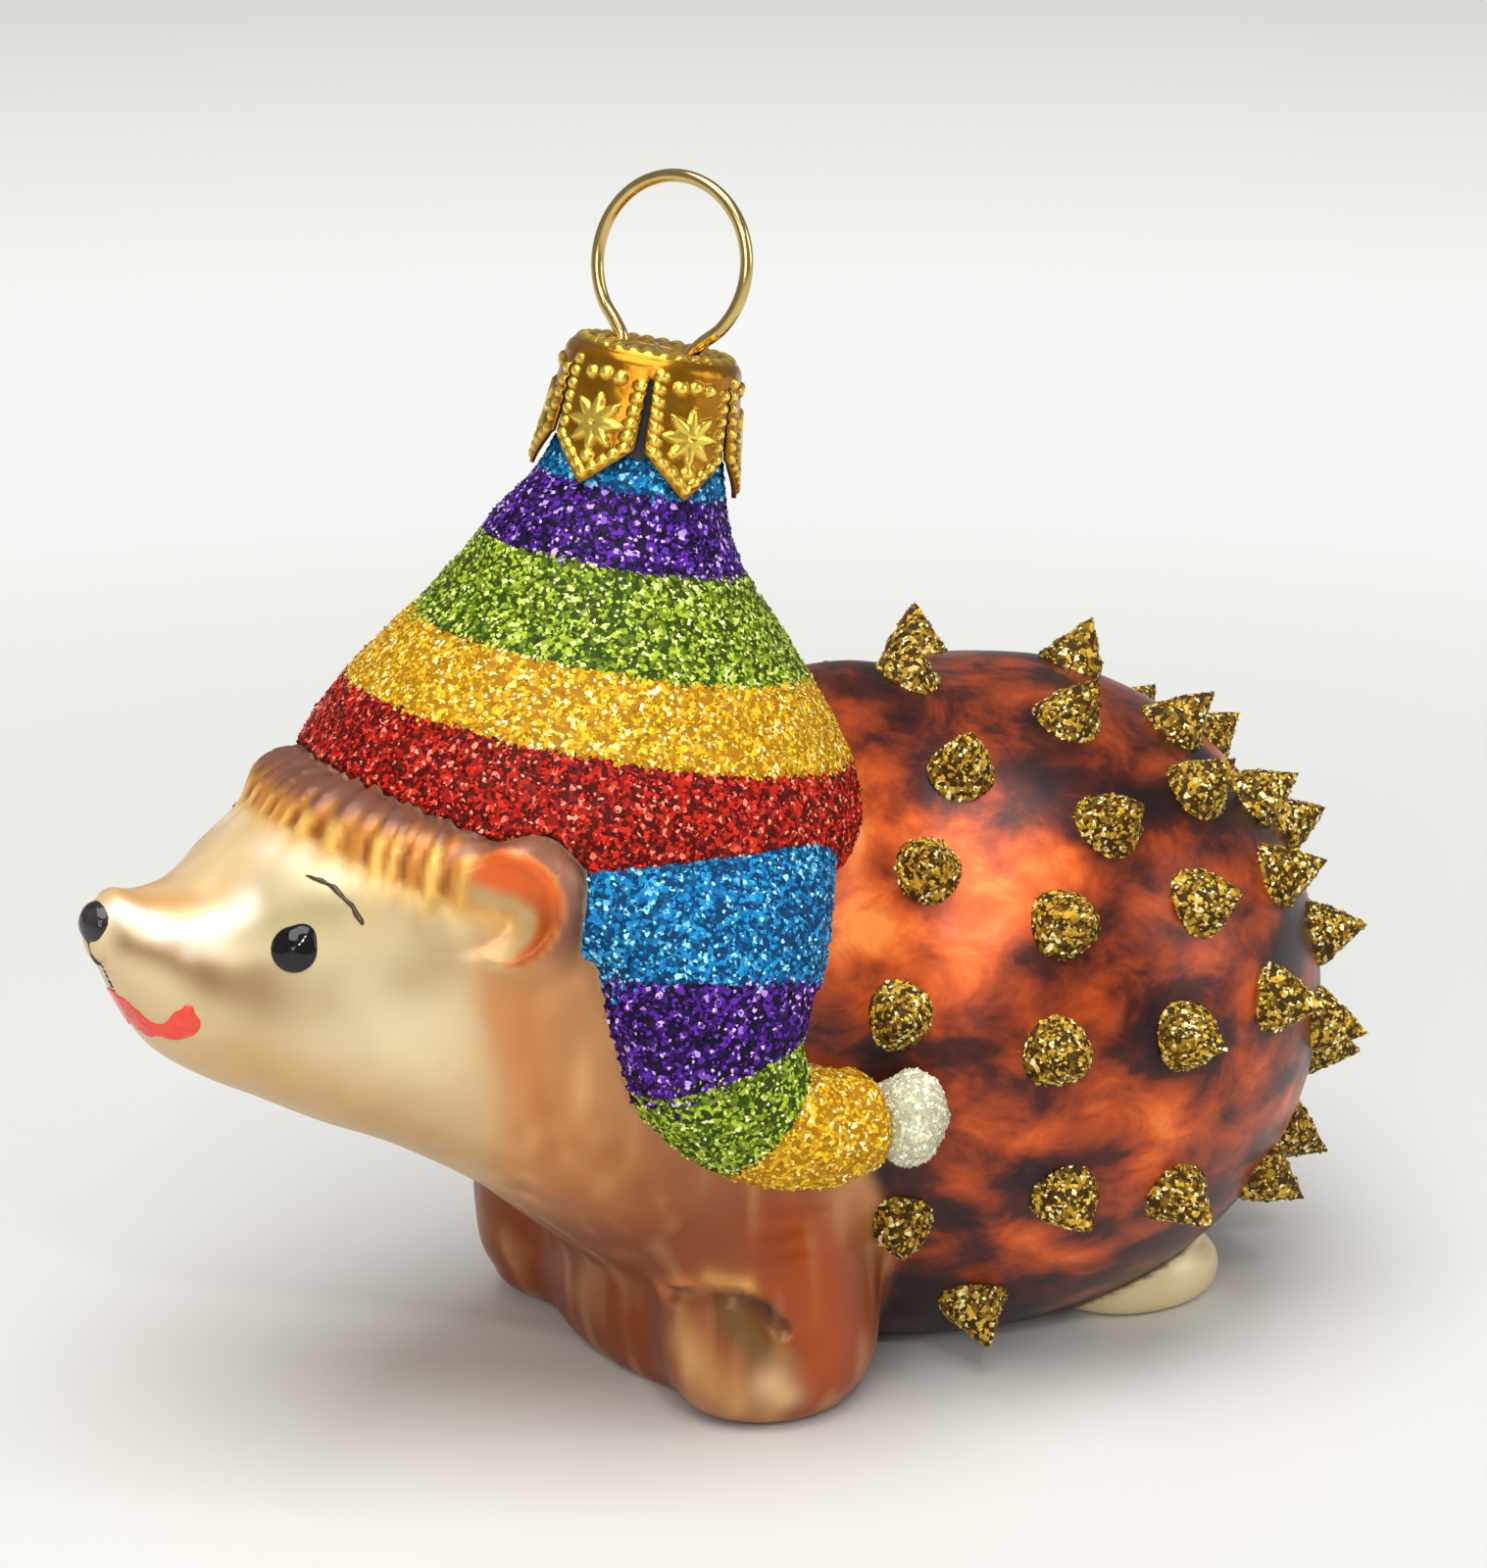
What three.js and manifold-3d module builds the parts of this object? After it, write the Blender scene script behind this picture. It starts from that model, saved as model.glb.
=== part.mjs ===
// Blown-glass hedgehog ornament with a glitter bobble hat, millimetres, +Z up, snout towards -X.
// The figure is one hollow shell of glass. Glitter coats, thorns and enamel sit on it,
// and a crimped metal cap with a sprung wire hanger closes its neck.
import * as THREE from "three";
import { mergeVertices } from "three/addons/utils/BufferGeometryUtils.js";
import Module from "manifold-3d";

const wasm = await Module();
wasm.setup();

// Glass wall, and the layers that lie on it
const GLASS_WALL = 1.0;
const LAYER_GAP = 0.3;
const COAT_THICKNESS = 0.4;
const BAND_GAP = 0.3;

// Rounded body and the flatter belly below it, ellipsoids cut flat where the figure stands
const BODY = { x: 30.5, y: 0, z: 25.3, halfLength: 28.8, halfWidth: 28.5, halfHeight: 27.1 };
const BELLY = { x: 24, y: 0, z: 10.5, halfLength: 21, halfWidth: 18, halfHeight: 12.5 };

// Head, neck and back, as upright rounded sections from the snout to inside the body
const TRUNK = [
  { x: -45.9, z: 42.9, width: 1.9, up: 2.3, down: 2.2, square: 2 },
  { x: -44.6, z: 41.9, width: 3.5, up: 4.2, down: 4.3, square: 2 },
  { x: -42.2, z: 40.9, width: 5.2, up: 4.7, down: 7.3, square: 2 },
  { x: -38.5, z: 39.9, width: 7.6, up: 6.1, down: 9.2, square: 2 },
  { x: -34.5, z: 39.3, width: 10.6, up: 9.0, down: 10.8, square: 2.1 },
  { x: -30.0, z: 38.6, width: 13.4, up: 12.0, down: 12.6, square: 2.2 },
  { x: -24.0, z: 37.6, width: 16.3, up: 15.0, down: 14.5, square: 2.3 },
  { x: -16.0, z: 35.5, width: 18.6, up: 17.0, down: 17.6, square: 2.5 },
  { x: -6.0, z: 31.5, width: 19.8, up: 20.5, down: 22.0, square: 2.5 },
  { x: 3.0, z: 28.5, width: 19.6, up: 24.5, down: 23.0, square: 2.4 },
  { x: 11.0, z: 27.0, width: 16.8, up: 26.2, down: 20.0, square: 2.2 },
  { x: 20.0, z: 26.5, width: 12.0, up: 26.0, down: 14.0, square: 2 },
  { x: 28.0, z: 26.0, width: 8.0, up: 20.0, down: 10.0, square: 2 },
];

// Hat crown, rings about the neck's leaning axis, each set back a little from it
const HAT_LEAN = 12;
const HAT_X = -5.4;
const HAT_Z = 49.4;
const CROWN = [
  { height: -9.0, radius: 15.5, back: 0 },
  { height: -4.2, radius: 19.9, back: 0 },
  { height: -1.6, radius: 21.2, back: 0.3 },
  { height: 1.6, radius: 20.4, back: 0.6 },
  { height: 6.3, radius: 17.7, back: 0.7 },
  { height: 12.6, radius: 12.9, back: 0.3 },
  { height: 18.3, radius: 8.9, back: -0.7 },
  { height: 23.1, radius: 6.5, back: 0 },
  { height: 26.0, radius: 6.0, back: 0 },
];
const NECK_RADIUS = 6.0;
const NECK_TOP = 32.0;

// Tuft of hair along the front of the brim, a turned form set forward of the crown
const FRINGE = { forward: 7.2, low: -7.0, edge: -4.0, high: -1.8, lowRadius: 16.0, edgeRadius: 18.3 };

// Glitter bands of the crown, by height along the neck's axis
const CROWN_BANDS = [
  { name: "hat_coat_red", from: -3.8, to: 4.2, colour: 0xb8281e },
  { name: "hat_coat_yellow", from: 4.2, to: 9.9, colour: 0xd9a31e },
  { name: "hat_coat_green", from: 9.9, to: 16.9, colour: 0x7fa828 },
  { name: "hat_coat_purple", from: 16.9, to: 22.2, colour: 0x4b1f86 },
  { name: "hat_coat_blue", from: 22.2, to: 24.5, colour: 0x1e86c4 },
];

// Tail of the hat, which hangs down the near side and curls back to its bobble
const TAIL = [
  { x: -5.2, y: -14.5, z: 48.5, across: 11.6, deep: 4.4 },
  { x: -5.4, y: -17.2, z: 44.6, across: 11.2, deep: 5.2 },
  { x: -5.4, y: -19.2, z: 40.4, across: 9.4, deep: 5.6 },
  { x: -6.0, y: -20.4, z: 35.8, across: 7.6, deep: 5.4 },
  { x: -5.2, y: -21.0, z: 31.0, across: 6.3, deep: 5.0 },
  { x: -1.8, y: -21.4, z: 27.0, across: 4.7, deep: 4.6 },
  { x: 2.2, y: -22.2, z: 25.6, across: 4.0, deep: 4.2 },
  { x: 5.4, y: -22.8, z: 25.6, across: 3.4, deep: 3.6 },
];
const TAIL_BANDS = [
  { name: "tail_coat_blue", from: 0.02, to: 0.36, colour: 0x1e86c4 },
  { name: "tail_coat_purple", from: 0.36, to: 0.53, colour: 0x4b1f86 },
  { name: "tail_coat_green", from: 0.53, to: 0.69, colour: 0x7fa828 },
  { name: "tail_coat_yellow", from: 0.69, to: 0.99, colour: 0xd9a31e },
];
const BOBBLE = { x: 9.0, y: -24.4, z: 25.6, halfLength: 3.2, halfWidth: 3.3, halfHeight: 3.8 };

// Chest, front legs and paws, hind feet and ears, given for the far side and mirrored.
// The far front leg stands one small step ahead of the near one, and the far ear lies back and low.
const CHEST = { x: 4.2, y: 0, z: 5.5, halfLength: 10.0, halfWidth: 18.5, halfHeight: 10.5 };
const FRONT_LEG = [
  { x: 4.0, y: 9.0, z: 21.0, across: 8.5, deep: 8.5 },
  { x: 3.2, y: 12.8, z: 13.5, across: 8.8, deep: 7.8 },
  { x: 3.4, y: 14.0, z: 6.0, across: 8.4, deep: 7.0 },
  { x: 3.4, y: 13.8, z: 2.6, across: 6.6, deep: 5.6 },
];
const PAW = { x: 2.6, y: 14.0, z: 4.4, halfLength: 8.2, halfWidth: 6.8, halfHeight: 5.4 };
const FAR_STEP = 2.0;
const FAR_EAR_BACK = 2.2;
const FAR_EAR_DROP = 1.2;
const HIND_FOOT = { x: 39.5, y: 12.0, z: 2.4, halfLength: 7.4, halfWidth: 5.2, halfHeight: 4.0 };
const EAR = { x: -19.2, y: 17.4, z: 45.8, halfLength: 4.6, halfWidth: 2.8, halfHeight: 5.6 };
const EAR_HOLLOW = { x: -23.6, y: 20.4, z: 45.6, halfLength: 5.2, halfWidth: 4.6, halfHeight: 5.0 };

// Thorns, each leaning to the rear, by azimuth and elevation as seen from a middle point in the body.
// Azimuth 0 faces the near side and 90 the rear. The last four rows are the far side.
const THORN = { base: 2.8, height: 4.4, bend: 0.9, gap: 0.4, sides: 7, rings: 4 };
const THORN_LEAN = { x: 1, y: 0, z: -0.6 };
const THORN_MIDDLE = { x: BODY.x + 2.8, y: BODY.y, z: BODY.z };
const THORNS = [
  [85, 76], [-77, 69], [-167, 69], [-6, 66], [43, 58],
  [-43, 52], [-10, 43], [21, 46], [85, 43], [46, 39],
  [-46, 34], [-23, 27], [5, 28], [33, 27], [61, 29],
  [-48, 13], [-25, 8], [-3, 8], [19, 9], [48, 12],
  [42, -2], [55, -11], [-48, -20], [-23, -16], [-2, -20], [30, -28], [46, -25], [-37, -41],
  [112, 43], [150, 42], [188, 43],
  [84, 28], [114, 25], [144, 25], [174, 25],
  [80, 4], [110, 4], [140, 4], [170, 4], [200, 4], [229, 13],
  [95, -20], [130, -20], [165, -20],
];

// Enamel on the face
const EYE = { x: -34.7, z: 42.6, radius: 1.75, edge: 0.2, rise: 0.8 };
const NOSE_PAINT = { x: -46.6, y: 0, z: 43.4, halfLength: 2.3, halfWidth: 2.7, halfHeight: 2.4 };
const NOSE_THICKNESS = 0.5;

// Crimped metal cap over the neck
const CAP_SHEET = 0.35;
const CAP_CLEARANCE = 0.3;
const CAP_SHOULDER = 1.3;
const CAP_CHAMFER = 0.3;
const CAP_TABS = 6;
const CAP_HEIGHT = 10.3;
const SLIT_TOP = 8.6;
const SLIT_HALF_WIDTH = 0.3;
const TAB_POINT = 3.2;
const CAP_TURN = -1;

// Sprung wire hanger, whose ring stands over the cap and whose legs grip inside the neck
const WIRE_RADIUS = 0.5;
const RING_RADIUS = 6.6;
const RING_SINK = 0.2;
const LEG_SPREAD = 3.1;
const RING_OPENING = 0.62;
const HOLE_CLEARANCE = 0.35;
const LEG_CLEARANCE = 0.5;
const LEG_STRAIGHT = 5;
const LEG_LENGTH = 16;
const HANGER_TURN = -63;

// How finely the turned and lofted surfaces are cut
const FINENESS = 0.65;
const HOLLOW_FINENESS = 0.38;
const COAT_SIDES = 23;
const NOSE_SIDES = 14;
const CAP_SIDES = 30;
const WIRE_STEPS = 48;

// Smooth value of one key of a list of stations, at t from 0 to 1.
function smooth(stations, key, t) {
  const at = t * (stations.length - 1);
  const i = Math.min(Math.floor(at), stations.length - 2);
  const value = (k) => stations[THREE.MathUtils.clamp(k, 0, stations.length - 1)][key];
  const [a, b, c, d] = [value(i - 1), value(i), value(i + 1), value(i + 2)];
  const u = at - i;
  const [enter, leave] = [(c - a) / 2, (d - b) / 2];
  return b + u * (enter + u * (3 * (c - b) - 2 * enter - leave + u * (2 * (b - c) + enter + leave)));
}

// Solid from a closed geometry, whose doubled points are joined first.
function solidOf(geometry) {
  const bare = new THREE.BufferGeometry();
  bare.setAttribute("position", geometry.getAttribute("position"));
  bare.setIndex(geometry.index);
  const merged = mergeVertices(bare, 1e-4);
  const corners = Array.from(merged.index.array);
  const faces = [];
  for (let i = 0; i < corners.length; i += 3) {
    const [a, b, c] = corners.slice(i, i + 3);
    if (a !== b && b !== c && c !== a) faces.push(a, b, c);
  }
  return new wasm.Manifold(
    new wasm.Mesh({
      numProp: 3,
      vertProperties: merged.getAttribute("position").array,
      triVerts: new Uint32Array(faces),
    }),
  );
}

function geometryOf(solid) {
  const { vertProperties, triVerts } = solid.getMesh();
  const geometry = new THREE.BufferGeometry();
  geometry.setAttribute("position", new THREE.BufferAttribute(vertProperties, 3));
  geometry.setIndex(new THREE.BufferAttribute(triVerts, 1));
  geometry.computeVertexNormals();
  return geometry;
}

// Skin over a row of rings, closed by a point at each end.
function skin(start, rings, end) {
  const sides = rings[0].length;
  const points = [start, ...rings.flat(), end];
  const last = points.length - 1;
  const at = (ring, side) => 1 + ring * sides + (side % sides);
  const faces = [];
  for (let k = 0; k < sides; k++) {
    faces.push(0, at(0, k), at(0, k + 1));
    for (let i = 0; i + 1 < rings.length; i++) {
      faces.push(at(i, k), at(i + 1, k), at(i, k + 1));
      faces.push(at(i, k + 1), at(i + 1, k), at(i + 1, k + 1));
    }
    faces.push(last, at(rings.length - 1, k + 1), at(rings.length - 1, k));
  }
  const geometry = new THREE.BufferGeometry().setFromPoints(points);
  geometry.setIndex(faces);
  return geometry;
}

// Trunk of upright sections, grown outwards all over by grow.
function trunkSolid(grow, rings, sides) {
  const rows = [];
  for (let i = 0; i <= rings; i++) {
    const t = i / rings;
    const [x, z, width, up, down, square] = ["x", "z", "width", "up", "down", "square"].map(
      (key) => smooth(TRUNK, key, t),
    );
    const row = [];
    for (let k = 0; k < sides; k++) {
      const angle = (2 * Math.PI * k) / sides;
      const [s, c] = [Math.sin(angle), Math.cos(angle)];
      const reach = (Math.abs(s) ** square + Math.abs(c) ** square) ** (-1 / square);
      const height = (c > 0 ? up : down) + grow;
      row.push(new THREE.Vector3(x, (width + grow) * s * reach, z + height * c * reach));
    }
    rows.push(row);
  }
  const first = TRUNK[0];
  const last = TRUNK[TRUNK.length - 1];
  const start = new THREE.Vector3(first.x - first.width / 2 - grow, 0, first.z);
  const end = new THREE.Vector3(last.x + last.width / 2 + grow, 0, last.z);
  return solidOf(skin(start, rows, end));
}

// Limb along a smooth path of stations, from and to being shares of the path.
function limbSolid(stations, grow, { from = 0, to = 1, rings = 12, sides = 14, mirror = 1, round = 0.5 }) {
  const centre = (t) =>
    new THREE.Vector3(
      smooth(stations, "x", t),
      smooth(stations, "y", t) * mirror,
      smooth(stations, "z", t),
    );
  const along = (t) =>
    centre(Math.min(t + 0.01, 1)).sub(centre(Math.max(t - 0.01, 0))).normalize();
  const rows = [];
  for (let i = 0; i <= rings; i++) {
    const t = from + ((to - from) * i) / rings;
    const tangent = along(t);
    const out = new THREE.Vector3(0, 1, 0);
    out.addScaledVector(tangent, -out.dot(tangent)).normalize();
    const side = new THREE.Vector3().crossVectors(out, tangent);
    const across = smooth(stations, "across", t) + grow;
    const deep = smooth(stations, "deep", t) + grow;
    const row = [];
    for (let k = 0; k < sides; k++) {
      const angle = (2 * Math.PI * k) / sides;
      const point = centre(t).addScaledVector(side, across * Math.sin(angle));
      row.push(point.addScaledVector(out, deep * Math.cos(angle)));
    }
    rows.push(row);
  }
  const reach = (t) => smooth(stations, "deep", t) * round + grow;
  const start = centre(from).addScaledVector(along(from), from === 0 ? -reach(0) : 0);
  const end = centre(to).addScaledVector(along(to), to === 1 ? reach(1) : 0);
  return solidOf(skin(start, rows, end));
}

// Ellipsoid of a named form, on the far side, or mirrored to the near side.
function ovalSolid(form, grow, columns, mirror = 1) {
  const geometry = new THREE.SphereGeometry(1, columns, Math.round(columns * 0.6));
  geometry.rotateX(Math.PI / 2);
  geometry.scale(form.halfLength + grow, form.halfWidth + grow, form.halfHeight + grow);
  geometry.translate(form.x, form.y * mirror, form.z);
  return solidOf(geometry);
}

// Ellipsoid of an ear, the far one set back and dropped.
function earSolid(form, grow, columns, mirror) {
  const ear = ovalSolid(form, grow, columns, mirror);
  return mirror > 0 ? ear.translate([FAR_EAR_BACK, 0, -FAR_EAR_DROP]) : ear;
}

// Puts a shape that is drawn with its height along +Z onto the neck's axis.
function ontoNeck(geometry, forward = 0) {
  geometry.translate(-forward, 0, 0);
  geometry.rotateY(THREE.MathUtils.degToRad(HAT_LEAN));
  return geometry.translate(HAT_X, 0, HAT_Z);
}

// Radius or set-back of the glass crown at a height along the neck's axis.
function crownAt(height, key) {
  const last = CROWN.length - 1;
  const within = THREE.MathUtils.clamp(height, CROWN[0].height, CROWN[last].height);
  const i = Math.max(CROWN.findIndex((station) => station.height >= within) - 1, 0);
  const share = (within - CROWN[i].height) / (CROWN[i + 1].height - CROWN[i].height);
  return smooth(CROWN, key, (i + share) / last);
}

const crownRadius = (height) => crownAt(height, "radius");

// Turns a closed profile of [radius, height] points about the neck's axis, then sets its rings back.
function turned(profile, sides, forward = 0) {
  const points = profile.map(([radius, height]) => new THREE.Vector2(radius, height));
  const geometry = new THREE.LatheGeometry(points, sides).rotateX(Math.PI / 2);
  const position = geometry.getAttribute("position");
  for (let i = 0; i < position.count; i++) {
    position.setX(i, position.getX(i) + crownAt(position.getZ(i), "back"));
  }
  return solidOf(ontoNeck(geometry, forward));
}

// Crown and neck; a hollow one runs out of the neck's mouth.
function crownSolid(grow, rings, sides) {
  const base = CROWN[0].height;
  const top = CROWN[CROWN.length - 1].height;
  const mouth = grow < 0 ? NECK_TOP + GLASS_WALL : NECK_TOP;
  const profile = [[0, base - grow]];
  for (let i = 0; i <= rings; i++) {
    const height = base + ((top - base) * i) / rings;
    profile.push([crownRadius(height) + grow, i === 0 ? height - grow : height]);
  }
  profile.push([NECK_RADIUS + grow, mouth], [0, mouth]);
  return turned(profile, sides);
}

function fringeSolid(grow, sides) {
  const { forward, low, edge, high, lowRadius, edgeRadius } = FRINGE;
  const profile = [
    [0, low - grow],
    [lowRadius + grow, low - grow],
    [edgeRadius + grow, edge],
    [lowRadius + grow, high + grow],
    [0, high + grow],
  ];
  return turned(profile, sides, forward);
}

const groundSide = 10 * BODY.halfLength;
const groundBlock = new THREE.BoxGeometry(groundSide, groundSide, groundSide);
const ground = solidOf(groundBlock.translate(0, 0, -groundSide / 2));

// All outer forms of the figure in one, grown by grow. A negative grow gives the hollow inside.
function figure(grow, fineness, { crown = true, tail = true } = {}) {
  const count = (full) => 2 * Math.round((full * fineness) / 2);
  const parts = [
    ovalSolid(BODY, grow, count(40)),
    ovalSolid(BELLY, grow, count(28)),
    ovalSolid(CHEST, grow, count(24)),
    trunkSolid(grow, count(28), count(28)),
  ];
  if (crown) parts.push(crownSolid(grow, count(18), count(28)));
  if (tail) parts.push(limbSolid(TAIL, grow, { rings: count(20), sides: count(16) }));
  for (const mirror of [-1, 1]) {
    const leg = limbSolid(FRONT_LEG, grow, { rings: count(10), sides: count(16), mirror });
    parts.push(mirror > 0 ? leg.translate([-FAR_STEP, 0, 0]) : leg);
    parts.push(ovalSolid(PAW, grow, count(16), mirror));
    if (grow < 0) continue;
    parts.push(ovalSolid(HIND_FOOT, grow, count(16), mirror), earSolid(EAR, grow, count(16), mirror));
  }
  let whole = parts.reduce((joined, part) => joined.add(part));
  if (grow < 0) return whole.subtract(ground.translate([0, 0, GLASS_WALL]));
  whole = whole.add(fringeSolid(grow, count(28)));
  for (const mirror of [-1, 1]) {
    whole = whole.subtract(earSolid(EAR_HOLLOW, -grow, count(14), mirror));
  }
  return whole;
}

function largest(solid) {
  return solid.decompose().reduce((best, body) => (body.volume() > best.volume() ? body : best));
}

const hedgehog = new THREE.Group();

function addPiece(name, solid, colour, roughness, metalness) {
  const material = new THREE.MeshStandardMaterial({ color: colour, roughness, metalness });
  const piece = new THREE.Mesh(geometryOf(solid), material);
  piece.name = name;
  hedgehog.add(piece);
  return piece;
}

// Glass figure, hollow and open at the neck
const hollow = largest(figure(-GLASS_WALL, HOLLOW_FINENESS));
const outside = figure(0, FINENESS).subtract(ground);
const glass = addPiece("glass_body", outside.subtract(hollow), 0xb06a3c, 0.25, 0.1);

// Glitter bands of the hat: sleeves of the crown, trimmed where the head and back rise into them
const underCoat = figure(LAYER_GAP, FINENESS, { crown: false });
for (const { name, from, to, colour } of CROWN_BANDS) {
  const low = from + BAND_GAP / 2;
  const high = to - BAND_GAP / 2;
  const steps = 4;
  const inside = [];
  const outsideOf = [];
  for (let i = 0; i <= steps; i++) {
    const height = low + ((high - low) * i) / steps;
    inside.unshift([crownRadius(height) + LAYER_GAP, height]);
    outsideOf.push([crownRadius(height) + LAYER_GAP + COAT_THICKNESS, height]);
  }
  const sleeve = turned([...outsideOf, ...inside, outsideOf[0]], COAT_SIDES);
  addPiece(name, largest(sleeve.subtract(underCoat)), colour, 0.4, 0.6);
}

// Glitter bands of the tail: its skin outside the figure and clear of the crown's coat
const coated = LAYER_GAP + COAT_THICKNESS;
const underTail = figure(LAYER_GAP, FINENESS).add(crownSolid(coated + BAND_GAP, 14, 20));
const tailLength = TAIL.length - 1;
for (const { name, from, to, colour } of TAIL_BANDS) {
  const margin = BAND_GAP / (2 * tailLength * 5);
  const slice = { from: from + margin, to: to - margin, rings: 5, sides: 14 };
  const coat = limbSolid(TAIL, coated, slice).subtract(underTail);
  addPiece(name, largest(coat), colour, 0.4, 0.6);
}

// Bobble at the tail's end
const bobble = ovalSolid(BOBBLE, 0, 14).subtract(underTail);
addPiece("bobble", largest(bobble), 0xcfcfa8, 0.7, 0.1);

// First point of the glass that a ray meets, with the glass's outward direction there.
function seatOn(origin, direction) {
  const ray = new THREE.Raycaster(origin, direction.clone().normalize());
  const [hit] = ray.intersectObject(glass);
  return { point: hit.point, normal: hit.face.normal.clone() };
}

// Curved thorn on a round base at the origin, drawn along +Z and bent towards +X.
function thornGeometry() {
  const { base, height, bend, sides, rings } = THORN;
  const rows = [];
  for (let i = 0; i < rings; i++) {
    const t = i / rings;
    const radius = base * (1 - t * t) * (1 - 0.3 * Math.sin(Math.PI * t));
    const row = [];
    for (let k = 0; k < sides; k++) {
      const angle = (-2 * Math.PI * k) / sides;
      const x = bend * t * t + radius * Math.cos(angle);
      row.push(new THREE.Vector3(x, radius * Math.sin(angle), height * t));
    }
    rows.push(row);
  }
  return skin(new THREE.Vector3(0, 0, 0), rows, new THREE.Vector3(bend, 0, height));
}

const middle = new THREE.Vector3().copy(THORN_MIDDLE);
const reach = 3 * BODY.halfWidth;
THORNS.forEach(([azimuth, elevation], i) => {
  const [turn, tilt] = [azimuth, elevation].map(THREE.MathUtils.degToRad);
  const outward = new THREE.Vector3(
    Math.sin(turn) * Math.cos(tilt),
    -Math.cos(turn) * Math.cos(tilt),
    Math.sin(tilt),
  );
  const start = middle.clone().addScaledVector(outward, reach);
  const { point, normal } = seatOn(start, outward.clone().negate());
  const side = new THREE.Vector3().crossVectors(normal, THORN_LEAN).normalize();
  const lean = new THREE.Vector3().crossVectors(side, normal);
  const placing = new THREE.Matrix4().makeBasis(lean, side, normal);
  placing.setPosition(point.addScaledVector(normal, THORN.gap));
  const thorn = largest(solidOf(thornGeometry().applyMatrix4(placing)).subtract(underCoat));
  addPiece("thorn_" + String(i + 1).padStart(2, "0"), thorn, 0x9a7b22, 0.45, 0.7);
});

// Domed enamel eyes, seated on the sides of the face
for (const [name, side] of [["eye_left", -1], ["eye_right", 1]]) {
  const start = new THREE.Vector3(EYE.x, side * reach, EYE.z);
  const { point, normal } = seatOn(start, new THREE.Vector3(0, -side, 0));
  const profile = [new THREE.Vector2(0, 0)];
  for (let i = 0; i <= 4; i++) {
    const angle = (Math.PI / 2) * (i / 4);
    profile.push(new THREE.Vector2(EYE.radius * Math.cos(angle), EYE.edge + EYE.rise * Math.sin(angle)));
  }
  profile.splice(1, 0, new THREE.Vector2(EYE.radius, 0));
  profile[profile.length - 1].x = 0;
  const lens = new THREE.LatheGeometry(profile, 14);
  const facing = new THREE.Quaternion().setFromUnitVectors(new THREE.Vector3(0, 1, 0), normal);
  lens.applyQuaternion(facing);
  point.addScaledVector(normal, LAYER_GAP);
  lens.translate(point.x, point.y, point.z);
  addPiece(name, solidOf(lens), 0x0a0a0c, 0.1, 0);
}

// Black enamel over the tip of the snout
const noseOutside = trunkSolid(LAYER_GAP + NOSE_THICKNESS, 24, NOSE_SIDES);
const noseInside = trunkSolid(LAYER_GAP, 24, NOSE_SIDES);
const nose = noseOutside.subtract(noseInside).intersect(ovalSolid(NOSE_PAINT, 0, 12));
addPiece("nose_paint", largest(nose), 0x1c1a1c, 0.15, 0);

// The neck's own frame, with heights along +Z, carries the cap and the hanger
const neck = new THREE.Group();
neck.position.set(HAT_X, 0, HAT_Z);
neck.rotation.y = THREE.MathUtils.degToRad(HAT_LEAN);
hedgehog.add(neck);

// Inside radius of the cap's skirt: a cone down to the blue coat, then a flare that clears the coat
const coatTop = CROWN_BANDS[CROWN_BANDS.length - 1].to;
const capUnderside = NECK_TOP + LAYER_GAP;
const capTop = capUnderside + CAP_SHEET;
function skirtRadius(height) {
  const over = (h) => crownRadius(h) + coated + CAP_CLEARANCE;
  if (height <= coatTop) return over(height);
  const share = (height - coatTop) / (capUnderside - coatTop);
  return THREE.MathUtils.lerp(over(coatTop), NECK_RADIUS + CAP_CLEARANCE, share);
}

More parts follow.
